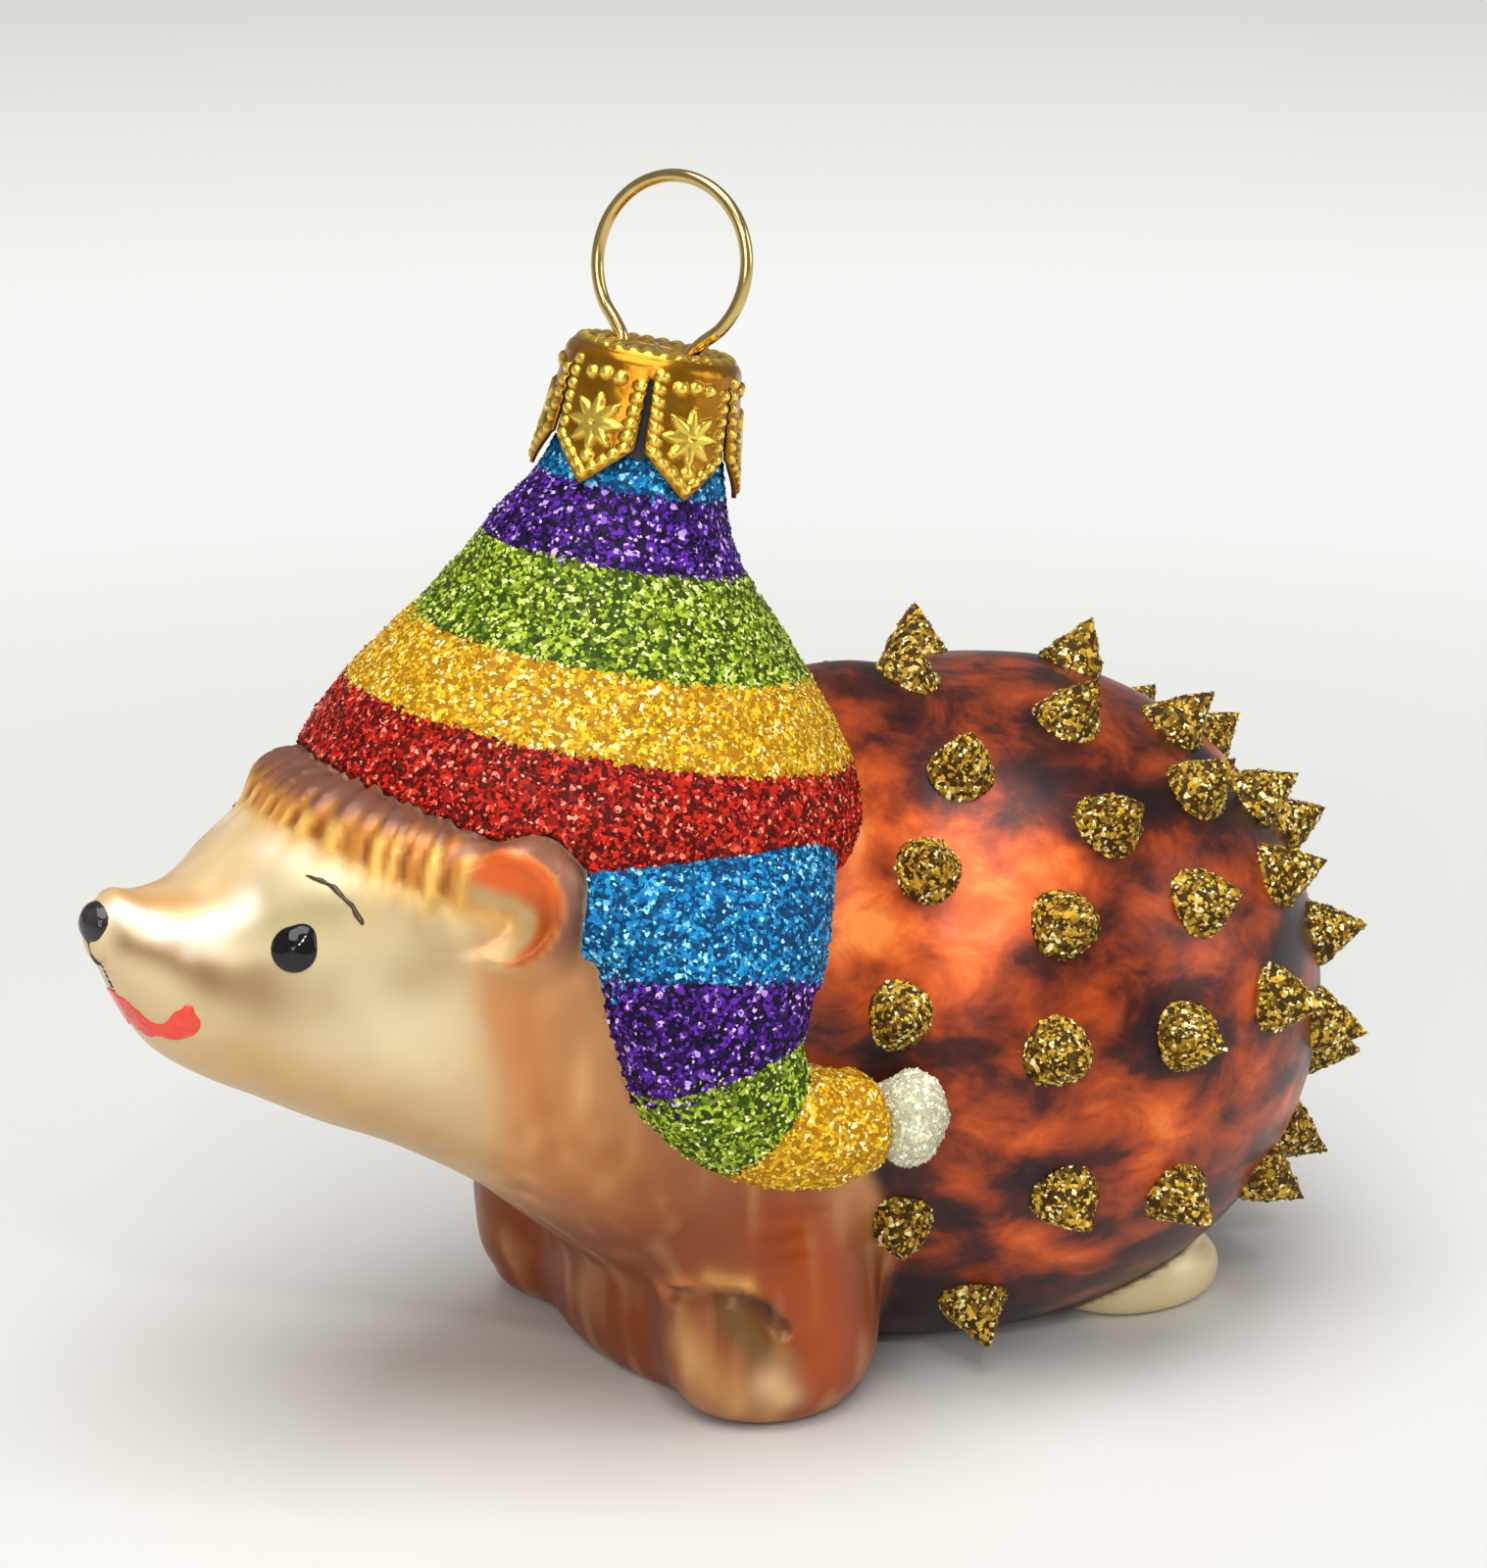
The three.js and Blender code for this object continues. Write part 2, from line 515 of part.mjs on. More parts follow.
function capSolid() {
  const foot = capTop - CAP_HEIGHT;
  const shoulder = capTop - CAP_SHOULDER;
  const steps = 5;
  const inside = [];
  const outsideOf = [];
  for (let i = 0; i <= steps; i++) {
    const height = THREE.MathUtils.lerp(foot, shoulder, i / steps);
    inside.push([skirtRadius(height), height]);
    outsideOf.push([skirtRadius(height) + CAP_SHEET, height]);
  }
  const rim = skirtRadius(shoulder) + CAP_SHEET;
  for (let i = 1; i <= 4; i++) {
    const angle = (Math.PI / 2) * (i / 4);
    const radius = rim - CAP_SHOULDER * (1 - Math.cos(angle));
    outsideOf.push([radius, shoulder + CAP_SHOULDER * Math.sin(angle)]);
  }
  const corner = skirtRadius(capUnderside);
  const underside = [
    [0, capUnderside],
    [corner - CAP_CHAMFER, capUnderside],
    [corner, capUnderside - CAP_CHAMFER],
  ];
  inside.sort((a, b) => b[1] - a[1]);
  const points = [...underside, ...inside, ...outsideOf, [0, capTop]];
  const turnedCap = new THREE.LatheGeometry(points.map(([r, h]) => new THREE.Vector2(r, h)), CAP_SIDES);
  let cap = solidOf(turnedCap.rotateX(Math.PI / 2));

  // Slits between the tabs open into the gaps between their points
  const pitch = (2 * Math.PI) / CAP_TABS;
  const notch = new THREE.Shape();
  const wide = 1.02 * skirtRadius(foot) * Math.sin(pitch / 2) + CAP_SHEET;
  notch.moveTo(-SLIT_HALF_WIDTH, foot + SLIT_TOP);
  notch.lineTo(-2 * SLIT_HALF_WIDTH, foot + TAB_POINT);
  notch.lineTo(-wide, foot - 0.01);
  notch.lineTo(-wide, foot - CAP_SHEET);
  notch.lineTo(wide, foot - CAP_SHEET);
  notch.lineTo(wide, foot - 0.01);
  notch.lineTo(2 * SLIT_HALF_WIDTH, foot + TAB_POINT);
  notch.lineTo(SLIT_HALF_WIDTH, foot + SLIT_TOP);
  const inner = NECK_RADIUS / 2;
  for (let k = 0; k < CAP_TABS; k++) {
    const angle = THREE.MathUtils.degToRad(CAP_TURN) + k * pitch;
    const outward = new THREE.Vector3(Math.cos(angle), Math.sin(angle), 0);
    const sideways = new THREE.Vector3(-Math.sin(angle), Math.cos(angle), 0);
    const cutter = new THREE.ExtrudeGeometry(notch, { depth: 2 * NECK_RADIUS, bevelEnabled: false });
    const placing = new THREE.Matrix4().makeBasis(sideways, new THREE.Vector3(0, 0, 1), outward);
    placing.setPosition(outward.multiplyScalar(inner));
    cap = cap.subtract(solidOf(cutter.applyMatrix4(placing)));
  }

  // Two holes for the hanger's legs
  for (const side of [-1, 1]) {
    const hole = new THREE.CylinderGeometry(1, 1, 4 * CAP_SHEET, 12).rotateX(Math.PI / 2);
    const radius = WIRE_RADIUS + HOLE_CLEARANCE;
    hole.scale(radius, radius, 1).translate(side * LEG_SPREAD, 0, capTop - CAP_SHEET / 2);
    hole.rotateZ(THREE.MathUtils.degToRad(HANGER_TURN));
    cap = cap.subtract(solidOf(hole));
  }
  return cap;
}

// One length of wire: up a leg, round the ring and down the other leg, in the plane of the ring
function hangerSolid() {
  const bow = NECK_RADIUS - GLASS_WALL - LEG_CLEARANCE - WIRE_RADIUS;
  const ringMiddle = capTop - RING_SINK + RING_RADIUS;
  const leg = [
    [bow - WIRE_RADIUS, capTop - LEG_LENGTH],
    [bow, capTop - 0.65 * LEG_LENGTH],
    [LEG_SPREAD, capTop - LEG_STRAIGHT],
    [LEG_SPREAD, capTop - LEG_STRAIGHT / 2],
    [LEG_SPREAD, capTop],
  ];
  const arc = [];
  const steps = 16;
  for (let i = 0; i <= steps; i++) {
    const angle = RING_OPENING + (2 * Math.PI - 2 * RING_OPENING) * (i / steps);
    arc.push([-RING_RADIUS * Math.sin(angle), ringMiddle - RING_RADIUS * Math.cos(angle)]);
  }
  const left = leg.map(([across, height]) => [-across, height]);
  const points = [...left, ...arc, ...leg.reverse()];
  const path = new THREE.CatmullRomCurve3(
    points.map(([across, height]) => new THREE.Vector3(across, 0, height)),
    false,
    "centripetal",
  );
  const section = new THREE.Shape().absarc(0, 0, WIRE_RADIUS, 0, 2 * Math.PI);
  const wire = new THREE.ExtrudeGeometry(section, { steps: WIRE_STEPS, curveSegments: 4, extrudePath: path });
  return solidOf(wire);
}

const cap = addPiece("cap", capSolid(), 0xd9a528, 0.3, 1);
const hanger = addPiece("hanger_wire", hangerSolid(), 0xc9a050, 0.2, 1);
hanger.rotation.z = THREE.MathUtils.degToRad(HANGER_TURN);
neck.add(cap, hanger);

// Centres the figure over its origin
const bounds = new THREE.Box3().setFromObject(hedgehog);
hedgehog.position.set(-(bounds.min.x + bounds.max.x) / 2, -(bounds.min.y + bounds.max.y) / 2, 0);

export default hedgehog;
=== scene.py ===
"""Looks of a blown-glass hedgehog ornament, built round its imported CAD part."""

import itertools
import math

import bpy
import numpy as np
from bpy.props import FloatProperty, FloatVectorProperty, PointerProperty
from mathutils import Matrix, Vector


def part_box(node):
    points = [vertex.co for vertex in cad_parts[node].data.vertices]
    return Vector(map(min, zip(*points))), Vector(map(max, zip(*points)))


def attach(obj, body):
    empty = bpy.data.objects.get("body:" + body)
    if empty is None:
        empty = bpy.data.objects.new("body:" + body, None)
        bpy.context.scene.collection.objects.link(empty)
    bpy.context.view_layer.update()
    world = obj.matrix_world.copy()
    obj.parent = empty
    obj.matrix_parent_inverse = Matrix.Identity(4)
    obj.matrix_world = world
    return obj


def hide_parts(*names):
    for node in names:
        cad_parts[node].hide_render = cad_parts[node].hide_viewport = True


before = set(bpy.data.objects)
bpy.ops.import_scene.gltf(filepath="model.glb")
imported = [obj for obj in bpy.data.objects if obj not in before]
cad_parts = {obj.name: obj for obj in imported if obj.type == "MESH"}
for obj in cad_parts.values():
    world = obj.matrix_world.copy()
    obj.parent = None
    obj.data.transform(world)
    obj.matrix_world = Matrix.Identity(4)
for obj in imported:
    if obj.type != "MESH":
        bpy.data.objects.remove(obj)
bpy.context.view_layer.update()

bl_info = {
    "name": "Blown-glass hedgehog ornament",
    "version": (1, 0, 0),
    "blender": (4, 5, 0),
    "location": "3D View > Sidebar > Ornament",
    "description": "Builds the lacquered glass, glitter and gilt cap of a hedgehog ornament",
    "category": "Object",
}

MM = 0.001

# The figure's forms in millimetres, drawn from a point on the table below the neck:
# centre and half sizes of each rounded form
BODY = (30.5, 0, 25.3, 28.8, 28.5, 27.1)
BELLY = (24, 0, 10.5, 21, 18, 12.5)
CHEST = (4.2, 0, 5.5, 10.0, 18.5, 10.5)
PAW = (2.6, 14.0, 4.4, 8.2, 6.8, 5.4)
HIND_FOOT = (39.5, 12.0, 2.4, 7.4, 5.2, 4.0)
EAR = (-19.4, 17.2, 45.3, 4.7, 2.7, 5.2)
EAR_HOLLOW = (-27.0, 19.5, 45.8, 8.2, 5.5, 5.2)
# How far the far leg lies ahead of the near one, and the far ear back and low
FAR_STEP = 2.0
FAR_EAR = (2.2, 1.2)
# Trunk sections from the snout back: x, z, half width, reach up, reach down, squareness
TRUNK = np.array([
    (-45.9, 42.9, 1.9, 2.3, 2.2, 2.0),
    (-44.6, 41.9, 3.5, 4.2, 4.3, 2.0),
    (-42.2, 40.9, 5.2, 4.7, 7.3, 2.0),
    (-38.5, 39.9, 7.6, 6.1, 9.2, 2.0),
    (-34.5, 39.3, 10.6, 9.0, 10.8, 2.1),
    (-30.0, 38.6, 13.4, 12.0, 12.6, 2.2),
    (-24.0, 37.6, 16.3, 15.0, 14.5, 2.3),
    (-16.0, 35.5, 18.6, 17.0, 17.6, 2.5),
    (-6.0, 31.5, 19.8, 20.5, 22.0, 2.5),
    (3.0, 28.5, 19.6, 24.5, 23.0, 2.4),
    (11.0, 27.0, 16.8, 26.2, 20.0, 2.2),
    (20.0, 26.5, 12.0, 26.0, 14.0, 2.0),
    (28.0, 26.0, 8.0, 20.0, 10.0, 2.0),
])
# Middle of the neck at the height of the brim, and how far it leans back
NECK_AT = np.array((-5.4, 0.0, 49.4))
NECK_LEAN = math.radians(12)
# Hat crown: height along the neck, radius, set-back
CROWN = np.array([
    (-9.0, 15.5, 0.0), (-4.2, 19.9, 0.0), (-1.6, 21.2, 0.3), (1.6, 20.4, 0.6), (6.3, 17.7, 0.7),
    (12.6, 12.9, 0.3), (18.3, 8.9, -0.7), (23.1, 6.5, 0.0), (26.0, 6.0, 0.0),
])
# Radius of the neck's bore, and heights of the neck's rim and the bore's foot
NECK_BORE = 5.0
NECK_TOP = 32.0
BORE_FOOT = 14.0
# Roll of hair under the brim: set forward, height, mean radius, half width and half height
FRINGE = (7.2, -4.4, 14.6, 3.9, 2.7)
# Hat's tail and front leg: x, y, z, half width across, half depth
TAIL = np.array([
    (-5.2, -14.5, 48.5, 11.6, 4.4), (-5.4, -17.2, 44.6, 11.2, 5.2), (-5.4, -19.2, 40.4, 9.4, 5.6),
    (-6.0, -20.4, 35.8, 7.6, 5.4), (-5.2, -21.0, 31.0, 6.3, 5.0), (-1.8, -21.4, 27.0, 4.7, 4.6),
    (2.2, -22.2, 25.6, 4.0, 4.2), (5.4, -22.8, 25.6, 3.4, 3.6),
])
FRONT_LEG = np.array([
    (4.0, 9.0, 21.0, 8.5, 8.5), (3.2, 12.8, 13.5, 8.8, 7.8), (3.4, 14.0, 6.0, 8.4, 7.0),
    (3.4, 13.8, 2.6, 6.6, 5.6),
])
# On the near side: dents along the top of the hair, and the crease over the paw's pad
HAIR_DENTS = [
    (-26.9, -1.2, 52.3), (-26.4, -2.9, 52.3), (-26.0, -4.6, 52.2), (-25.4, -6.6, 52.0), (-25.1, -8.2, 51.6),
]
PAW_CREASE = [
    (-4.9, -13.0, 10.4), (-4.8, -16.5, 11.5), (-3.1, -18.6, 11.9), (-1.2, -19.8, 10.6), (0.3, -20.2, 8.8),
]
# Fillets where the forms run together, and the rounding of the ears' hollows and the soles
FILLET = {
    "belly": 3.0, "trunk": 9.0, "paw": 2.5, "chest": 3.0, "leg": 2.2, "foot": 1.2, "ear": 2.4,
    "hollow": 0.6, "fringe": 1.8, "crown": 0.8, "tail": 0.8, "ground": 1.0,
}
# Corners of the space that holds the figure
SPACE = (-49.5, -30.5, -2), (62, 30.5, 84)
# Distance given where a form is nowhere near
FAR = 99.0

# Glitter bands: colour, from and to, as height on the crown or share of the tail
BANDS = {
    "hat": [
        ("red", -3.8, 4.2), ("yellow", 4.2, 9.9), ("green", 9.9, 16.9), ("purple", 16.9, 22.2),
        ("blue", 22.2, 24.5),
    ],
    "tail": [("blue", -0.2, 0.36), ("purple", 0.36, 0.53), ("green", 0.53, 0.69), ("yellow", 0.69, 1.2)],
}
# Length of the tail along its bend, and corners of the space that holds it
TAIL_LENGTH = 34
TAIL_SPACE = (-20, -30, 20), (12, -8, 56)
# How far a coat stands out from the glass and reaches into it
COAT_DEEP = 0.5
COAT_SUNK = 0.7
# Thorns: their nodes, radius at the foot and at the tip, and how many points round and rings up
THORNS = sorted(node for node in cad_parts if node.startswith("thorn_"))
THORN_FOOT, THORN_TIP = 2.75, 0.14
THORN_SIDES, THORN_RINGS = 26, 12
# Spacing of the points on coats, bobble, enamel drops and fine brush strokes
COAT_GRID, BOBBLE_GRID, DROP_GRID, STROKE_GRID = 0.4, 0.3, 0.16, 0.13

# Where that drawing lies in the part's own frame, from its snout and the middle of the glass
SNOUT = 46.85
LOW_GLASS, HIGH_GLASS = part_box("glass_body")
SHIFT = np.array((LOW_GLASS.x / MM + SNOUT, (LOW_GLASS.y + HIGH_GLASS.y) / 2 / MM, 0.0))


def linear(colour):
    """Linear RGB of an sRGB hex colour."""
    parts = [int(colour[i : i + 2], 16) / 255 for i in (1, 3, 5)]
    return tuple(c / 12.92 if c <= 0.04045 else ((c + 0.055) / 1.055) ** 2.4 for c in parts)


# ---- numbers and forms


def smooth_row(values, share):
    """Smooth value of a row of numbers at shares of its length, as the CAD part reads its stations."""
    row = np.asarray(values, float)
    last = len(row) - 1
    at = np.clip(share, 0, 1) * last
    i = np.minimum(at.astype(int), last - 1)
    u = at - i
    a, b, c, d = row[np.maximum(i - 1, 0)], row[i], row[i + 1], row[np.minimum(i + 2, last)]
    enter, leave = (c - a) / 2, (d - b) / 2
    return b + u * (enter + u * (3 * (c - b) - 2 * enter - leave + u * (2 * (b - c) + enter + leave)))


def length(v):
    """Length of each vector of a row."""
    return np.linalg.norm(v, axis=-1)


def unit(v):
    """Each vector of a row at length 1."""
    return v / length(v)[:, None]


def step_up(low, high, value):
    """0 below low, 1 above high, smooth between."""
    t = np.clip((value - low) / (high - low), 0, 1)
    return t * t * (3 - 2 * t)


# Large primes that scatter the cells of the noise
PRIMES = (73856093, 19349663, 83492791)


def noise3(points, size, seed=0):
    """Smooth random value from -1 to 1 at each point, its lumps about size across."""
    q = points / size
    cell = np.floor(q).astype(np.int64)
    f = q - cell
    f = f * f * (3 - 2 * f)
    total = np.zeros(len(points))
    for corner in itertools.product((0, 1), repeat=3):
        c = cell + np.array(corner)
        h = np.bitwise_xor.reduce(c * PRIMES, axis=1) ^ (seed * 668265263 + 374761393)
        h = ((h ^ (h >> 13)) * 1274126177) & 0xFFFFFFFF
        value = ((h >> 8) & 0xFFFF) / 32767.5 - 1
        weight = np.prod([f[:, k] if corner[k] else 1 - f[:, k] for k in range(3)], axis=0)
        total += value * weight
    return total


def join(a, b, blend):
    """Distance to the union of two forms, with a fillet about blend wide."""
    h = np.maximum(blend - np.abs(a - b), 0) / blend
    return np.minimum(a, b) - h * h * blend / 4


def cut(a, b, blend):
    """Distance to form a less form b, with a rounded edge about blend wide."""
    return -join(-a, b, blend)


def oval(p, form, mirror=1, ahead=0.0, drop=0.0):
    """Distance to an ellipsoid given by its centre and three half sizes."""
    centre = np.array((form[0] - ahead, form[1] * mirror, form[2] - drop))
    half = np.array(form[3:])
    q = p - centre
    k0, k1 = length(q / half), length(q / half**2)
    return k0 * (k0 - 1) / np.maximum(k1, 1e-6)


SHARES = np.linspace(0, 1, 241)
TRUNK_ROWS = [smooth_row(TRUNK[:, k], SHARES) for k in range(6)]


def trunk(p):
    """Distance to the trunk of upright rounded sections."""
    x = np.clip(p[:, 0], TRUNK[0, 0], TRUNK[-1, 0])
    z, wide, up, down, square = [np.interp(x, TRUNK_ROWS[0], row) for row in TRUNK_ROWS[1:]]
    dz = p[:, 2] - z
    a = np.abs(p[:, 1]) / wide
    b = np.abs(dz) / np.where(dz > 0, up, down)
    over = np.maximum(TRUNK[0, 0] - p[:, 0], 0)
    q = (a**square + b**square) ** (1 / square)
    q = np.sqrt(q * q + (over / 0.95) ** 2)
    r = np.sqrt(p[:, 1] ** 2 + dz**2 + over**2)
    d = r * (1 - 1 / np.maximum(q, 1e-3))
    return np.maximum(d, p[:, 0] - TRUNK[-1, 0] - 4)


def neck_frame(p):
    """Forward distance, sideways distance and height of points in the neck's leaning frame."""
    q = p - NECK_AT
    c, s = math.cos(NECK_LEAN), math.sin(NECK_LEAN)
    return q[:, 0] * c - q[:, 2] * s, q[:, 1], q[:, 0] * s + q[:, 2] * c


def from_neck(u, v, h):
    """Points of the drawing from the neck's frame."""
    c, s = math.cos(NECK_LEAN), math.sin(NECK_LEAN)
    return NECK_AT + np.stack([u * c + h * s, v, -u * s + h * c], axis=-1)


HEIGHTS = np.interp(SHARES, np.linspace(0, 1, len(CROWN)), CROWN[:, 0])
CROWN_ROWS = [smooth_row(CROWN[:, k], SHARES) for k in (1, 2)]


def crown(p):
    """Distance to the hat's crown and the neck above it."""
    u, v, h = neck_frame(p)
    radius = np.interp(h, HEIGHTS, CROWN_ROWS[0])
    r = np.hypot(u - np.interp(h, HEIGHTS, CROWN_ROWS[1]), v)
    return np.maximum(np.maximum(r - radius, CROWN[0, 0] - h), h - NECK_TOP)


def strands(angle):
    """Rise and fall of the hair's strands round the head, from -1 to 1."""
    narrow = 0.6 * np.sin(angle * 62 + 2.4 * np.sin(angle * 9))
    return narrow + 0.4 * np.sin(angle * 37 + 1.8 * np.sin(angle * 5))


def fringe(p):
    """Distance to the roll of hair under the brim's front."""
    u, v, h = neck_frame(p)
    forward, height, mean, wide, high = FRINGE
    angle = np.arctan2(v, -(u + forward))
    r = np.hypot(u + forward, v)
    lock = strands(angle)
    droop = 0.9 * step_up(0.3, 1.2, np.abs(angle))
    q = np.hypot((np.maximum(r - mean, 0)) / (wide + 0.22 * lock), (h - height + droop) / (high + 0.3 * lock))
    return np.where(r > mean - 4, (q - 1) * high, FAR)


def limb(p, stations, mirror=1, ahead=0.0, round_end=0.5, count=48):
    """Distance to a limb along a smooth path, and the share of the path that is nearest."""
    shares = np.linspace(0, 1, count)
    rows = [smooth_row(stations[:, k], shares) for k in range(5)]
    centre = np.stack([rows[0] - ahead, rows[1] * mirror, rows[2]], axis=1)
    tangent = unit(np.gradient(centre, axis=0))
    out = unit(np.array((0.0, 1.0, 0.0)) - tangent * tangent[:, 1:2])
    side = np.cross(out, tangent)
    low, high = centre.min(0) - 20, centre.max(0) + 20
    near = np.where(((p > low) & (p < high)).all(axis=1))[0]
    d, at = np.full(len(p), FAR), np.zeros(len(p))
    for part in np.array_split(near, max(1, len(near) // 20000)):
        q = p[part]
        i = np.argmin(((q[:, None, :] - centre[None]) ** 2).sum(-1), axis=1)
        w = q - centre[i]
        along = (w * tangent[i]).sum(1)
        share = np.clip(i + along / np.linalg.norm(centre[1] - centre[0]), 0, count - 1)
        across = np.interp(share, np.arange(count), rows[3])
        deep = np.interp(share, np.arange(count), rows[4])
        a, b = (w * side[i]).sum(1), (w * out[i]).sum(1)
        past = np.where((i == 0) | (i == count - 1), np.abs(along), 0.0)
        q2 = np.sqrt((a / across) ** 2 + (b / deep) ** 2 + (past / (deep * round_end)) ** 2)
        r = np.sqrt(a * a + b * b + past * past)
        d[part] = r * (1 - 1 / np.maximum(q2, 1e-3))
        at[part] = share / (count - 1)
    return d, at


def to_line(p, points, widths=None):
    """Distance to a row of straight pieces through a few points, less their half widths there."""
    points = np.array(points, float)
    widths = np.zeros(len(points)) if widths is None else widths
    best = np.full(len(p), np.inf)
    for a, b, start, end in zip(points[:-1], points[1:], widths[:-1], widths[1:]):
        t = np.clip(((p - a) @ (b - a)) / ((b - a) @ (b - a)), 0, 1)
        away = length(p - a - t[:, None] * (b - a))
        best = np.minimum(best, away - start - (end - start) * t)
    return best


def ear(p, form, mirror):
    """Distance to an ear's form; the far ear lies back and low."""
    return oval(p, form, 1, -FAR_EAR[0], FAR_EAR[1]) if mirror > 0 else oval(p, form, -1)


def near_side(p):
    """Points folded onto the near side, for what both sides have."""
    return p * (1, 0, 1) - np.abs(p) * (0, 1, 0)


def parts_of(p):
    """Distance to each form of the figure by name."""
    d = {"body": join(oval(p, BODY), oval(p, BELLY), FILLET["belly"])}
    d["trunk"], d["chest"], d["crown"], d["fringe"] = trunk(p), oval(p, CHEST), crown(p), fringe(p)
    d["tail"], d["tail_share"] = limb(p, TAIL)
    d["bulk"] = join(d["body"], d["trunk"], FILLET["trunk"])
    d["leg"], d["foot"], d["ear"] = np.full((3, len(p)), FAR)
    for mirror in (-1, 1):
        ahead = FAR_STEP if mirror > 0 else 0.0
        leg, _ = limb(p, FRONT_LEG, mirror, ahead, count=24)
        d["leg"] = np.minimum(d["leg"], join(leg, oval(p, PAW, mirror), FILLET["paw"]))
        d["foot"] = np.minimum(d["foot"], oval(p, HIND_FOOT, mirror))
        d["ear"] = np.minimum(d["ear"], ear(p, EAR, mirror))
    return d


def groove(away, deep, wide):
    """Depth of a soft groove at a distance from its middle."""
    return deep * np.exp(-((away / wide) ** 2))


def figure(p):
    """Distance to the whole figure, all its forms run together as blown glass does."""
    d = parts_of(p)
    near = near_side(p)
    whole = d["bulk"]
    for name in ("chest", "leg", "foot", "ear"):
        whole = join(whole, d[name], FILLET[name])
    for mirror in (-1, 1):
        hollow = np.maximum(ear(p, EAR_HOLLOW, mirror), 0.2 - d["trunk"])
        whole = cut(whole, hollow, FILLET["hollow"])
    whole = join(whole, d["fringe"], FILLET["fringe"])
    for dent in HAIR_DENTS:
        whole = whole + groove(length(near - dent), 0.5, 0.42)
    for name in ("crown", "tail"):
        whole = join(whole, d[name], FILLET[name])
    whole = whole + groove(to_line(near, PAW_CREASE), 0.9, 0.7)
    whole = cut(whole, p[:, 2], FILLET["ground"])
    u, v, h = neck_frame(p)
    bore = np.maximum(np.hypot(u, v) - NECK_BORE, BORE_FOOT - h)
    return np.maximum(whole, -bore)


def slope(distance, p, step):
    """Value and gradient of a distance function."""
    value = distance(p)
    return value, np.stack([distance(p + np.eye(3)[k] * step) - value for k in range(3)], axis=1) / step


def onto(distance, p, rounds=2, step=0.04, most=0.5):
    """Moves points onto the zero surface of a distance function."""
    for _ in range(rounds):
        value, grad = slope(distance, p, step)
        size = np.maximum((grad**2).sum(1), 0.25)
        p = p - np.clip(value, -most, most)[:, None] * grad / size[:, None]
    return p


def settle(p, rounds=3):
    """Moves points onto the figure's surface and gives its outward normals there."""
    step = 0.05
    p = onto(figure, p, rounds, step, 0.8)
    grad = slope(figure, p, step)[1]
    return p, grad / np.maximum(length(grad), 1e-6)[:, None]


# ---- meshes


def node_box(node):
    """Low and high corner of a node's box, in millimetres of the drawing."""
    return [np.array(corner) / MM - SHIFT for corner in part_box(node)]


def mesh_object(name, points, faces, finishes, replaced=(), body="figure"):
    """Smooth object from points in millimetres of the drawing, riding on its body."""
    mesh = bpy.data.meshes.new(name)
    mesh.from_pydata(((np.asarray(points) + SHIFT) * MM).tolist(), [], faces)
    mesh.validate()
    mesh.polygons.foreach_set("use_smooth", [True] * len(mesh.polygons))
    for finish in finishes:
        mesh.materials.append(finish)
    made = bpy.data.objects.new(name, mesh)
    bpy.context.scene.collection.objects.link(made)
    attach(made, body)
    if replaced:
        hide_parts(*replaced)
    return made


def coordinates(mesh):
    """Vertices of a mesh in millimetres of the drawing."""
    co = np.empty(len(mesh.vertices) * 3)
    mesh.vertices.foreach_get("co", co)
    return co.reshape(-1, 3) / MM - SHIFT


def tube(rings, sides):
    """Quads between rings of points, one ring after the other."""
    i, k = np.arange(rings - 1)[:, None] * sides, np.arange(sides)
    after = (k + 1) % sides
    return np.stack([i + k, i + after, i + sides + after, i + sides + k], -1).reshape(-1, 4)


def store(mesh, name, values):
    """Writes one number for each vertex, for materials to read."""
    attribute = mesh.attributes.new(name, "FLOAT", "POINT")
    attribute.data.foreach_set("value", np.asarray(values, np.float32))


def store_colour(mesh, name, values):
    """Writes one linear colour for each vertex."""
    attribute = mesh.attributes.new(name, "FLOAT_COLOR", "POINT")
    rgba = np.concatenate([values, np.ones((len(values), 1))], axis=1)
    attribute.data.foreach_set("color", rgba.astype(np.float32).ravel())


def relaxed(p, quads, share=0.5):
    """Points moved towards the middle of their neighbours."""
    total, count = np.zeros_like(p), np.zeros(len(p))
    for a, b in ((0, 1), (1, 2), (2, 3), (3, 0)):
        for i, j in ((quads[:, a], quads[:, b]), (quads[:, b], quads[:, a])):
            for k in range(3):
                total[:, k] += np.bincount(i, weights=p[j, k], minlength=len(p))
            count += np.bincount(i, minlength=len(p))
    return p + share * (total / np.maximum(count, 1)[:, None] - p)


# ---- materials


def link(tree, node, links):
    """Links sources to a node's inputs."""
    for key, source in links.items():
        tree.links.new(source, node.inputs[key])


def add(tree, kind, settings=None, links=None):
    """Adds a node, gives its settings and socket values, and links its inputs."""
    node = tree.nodes.new(kind)
    for key, value in (settings or {}).items():
        if isinstance(key, str) and hasattr(node, key):
            setattr(node, key, value)
        else:
            node.inputs[key].default_value = value
    link(tree, node, links or {})
    return node


def empty_tree(owner):
    """Node tree of a material or world, cleared."""
    owner.use_nodes = True
    owner.node_tree.nodes.clear()
    return owner.node_tree


def material(name, values):
    """New material with one Principled shader, whose sockets take the given values."""
    made = bpy.data.materials.new(name)
    tree = empty_tree(made)
    shader = add(tree, "ShaderNodeBsdfPrincipled", values)
    add(tree, "ShaderNodeOutputMaterial", None, {"Surface": shader.outputs[0]})
    return made, tree, shader


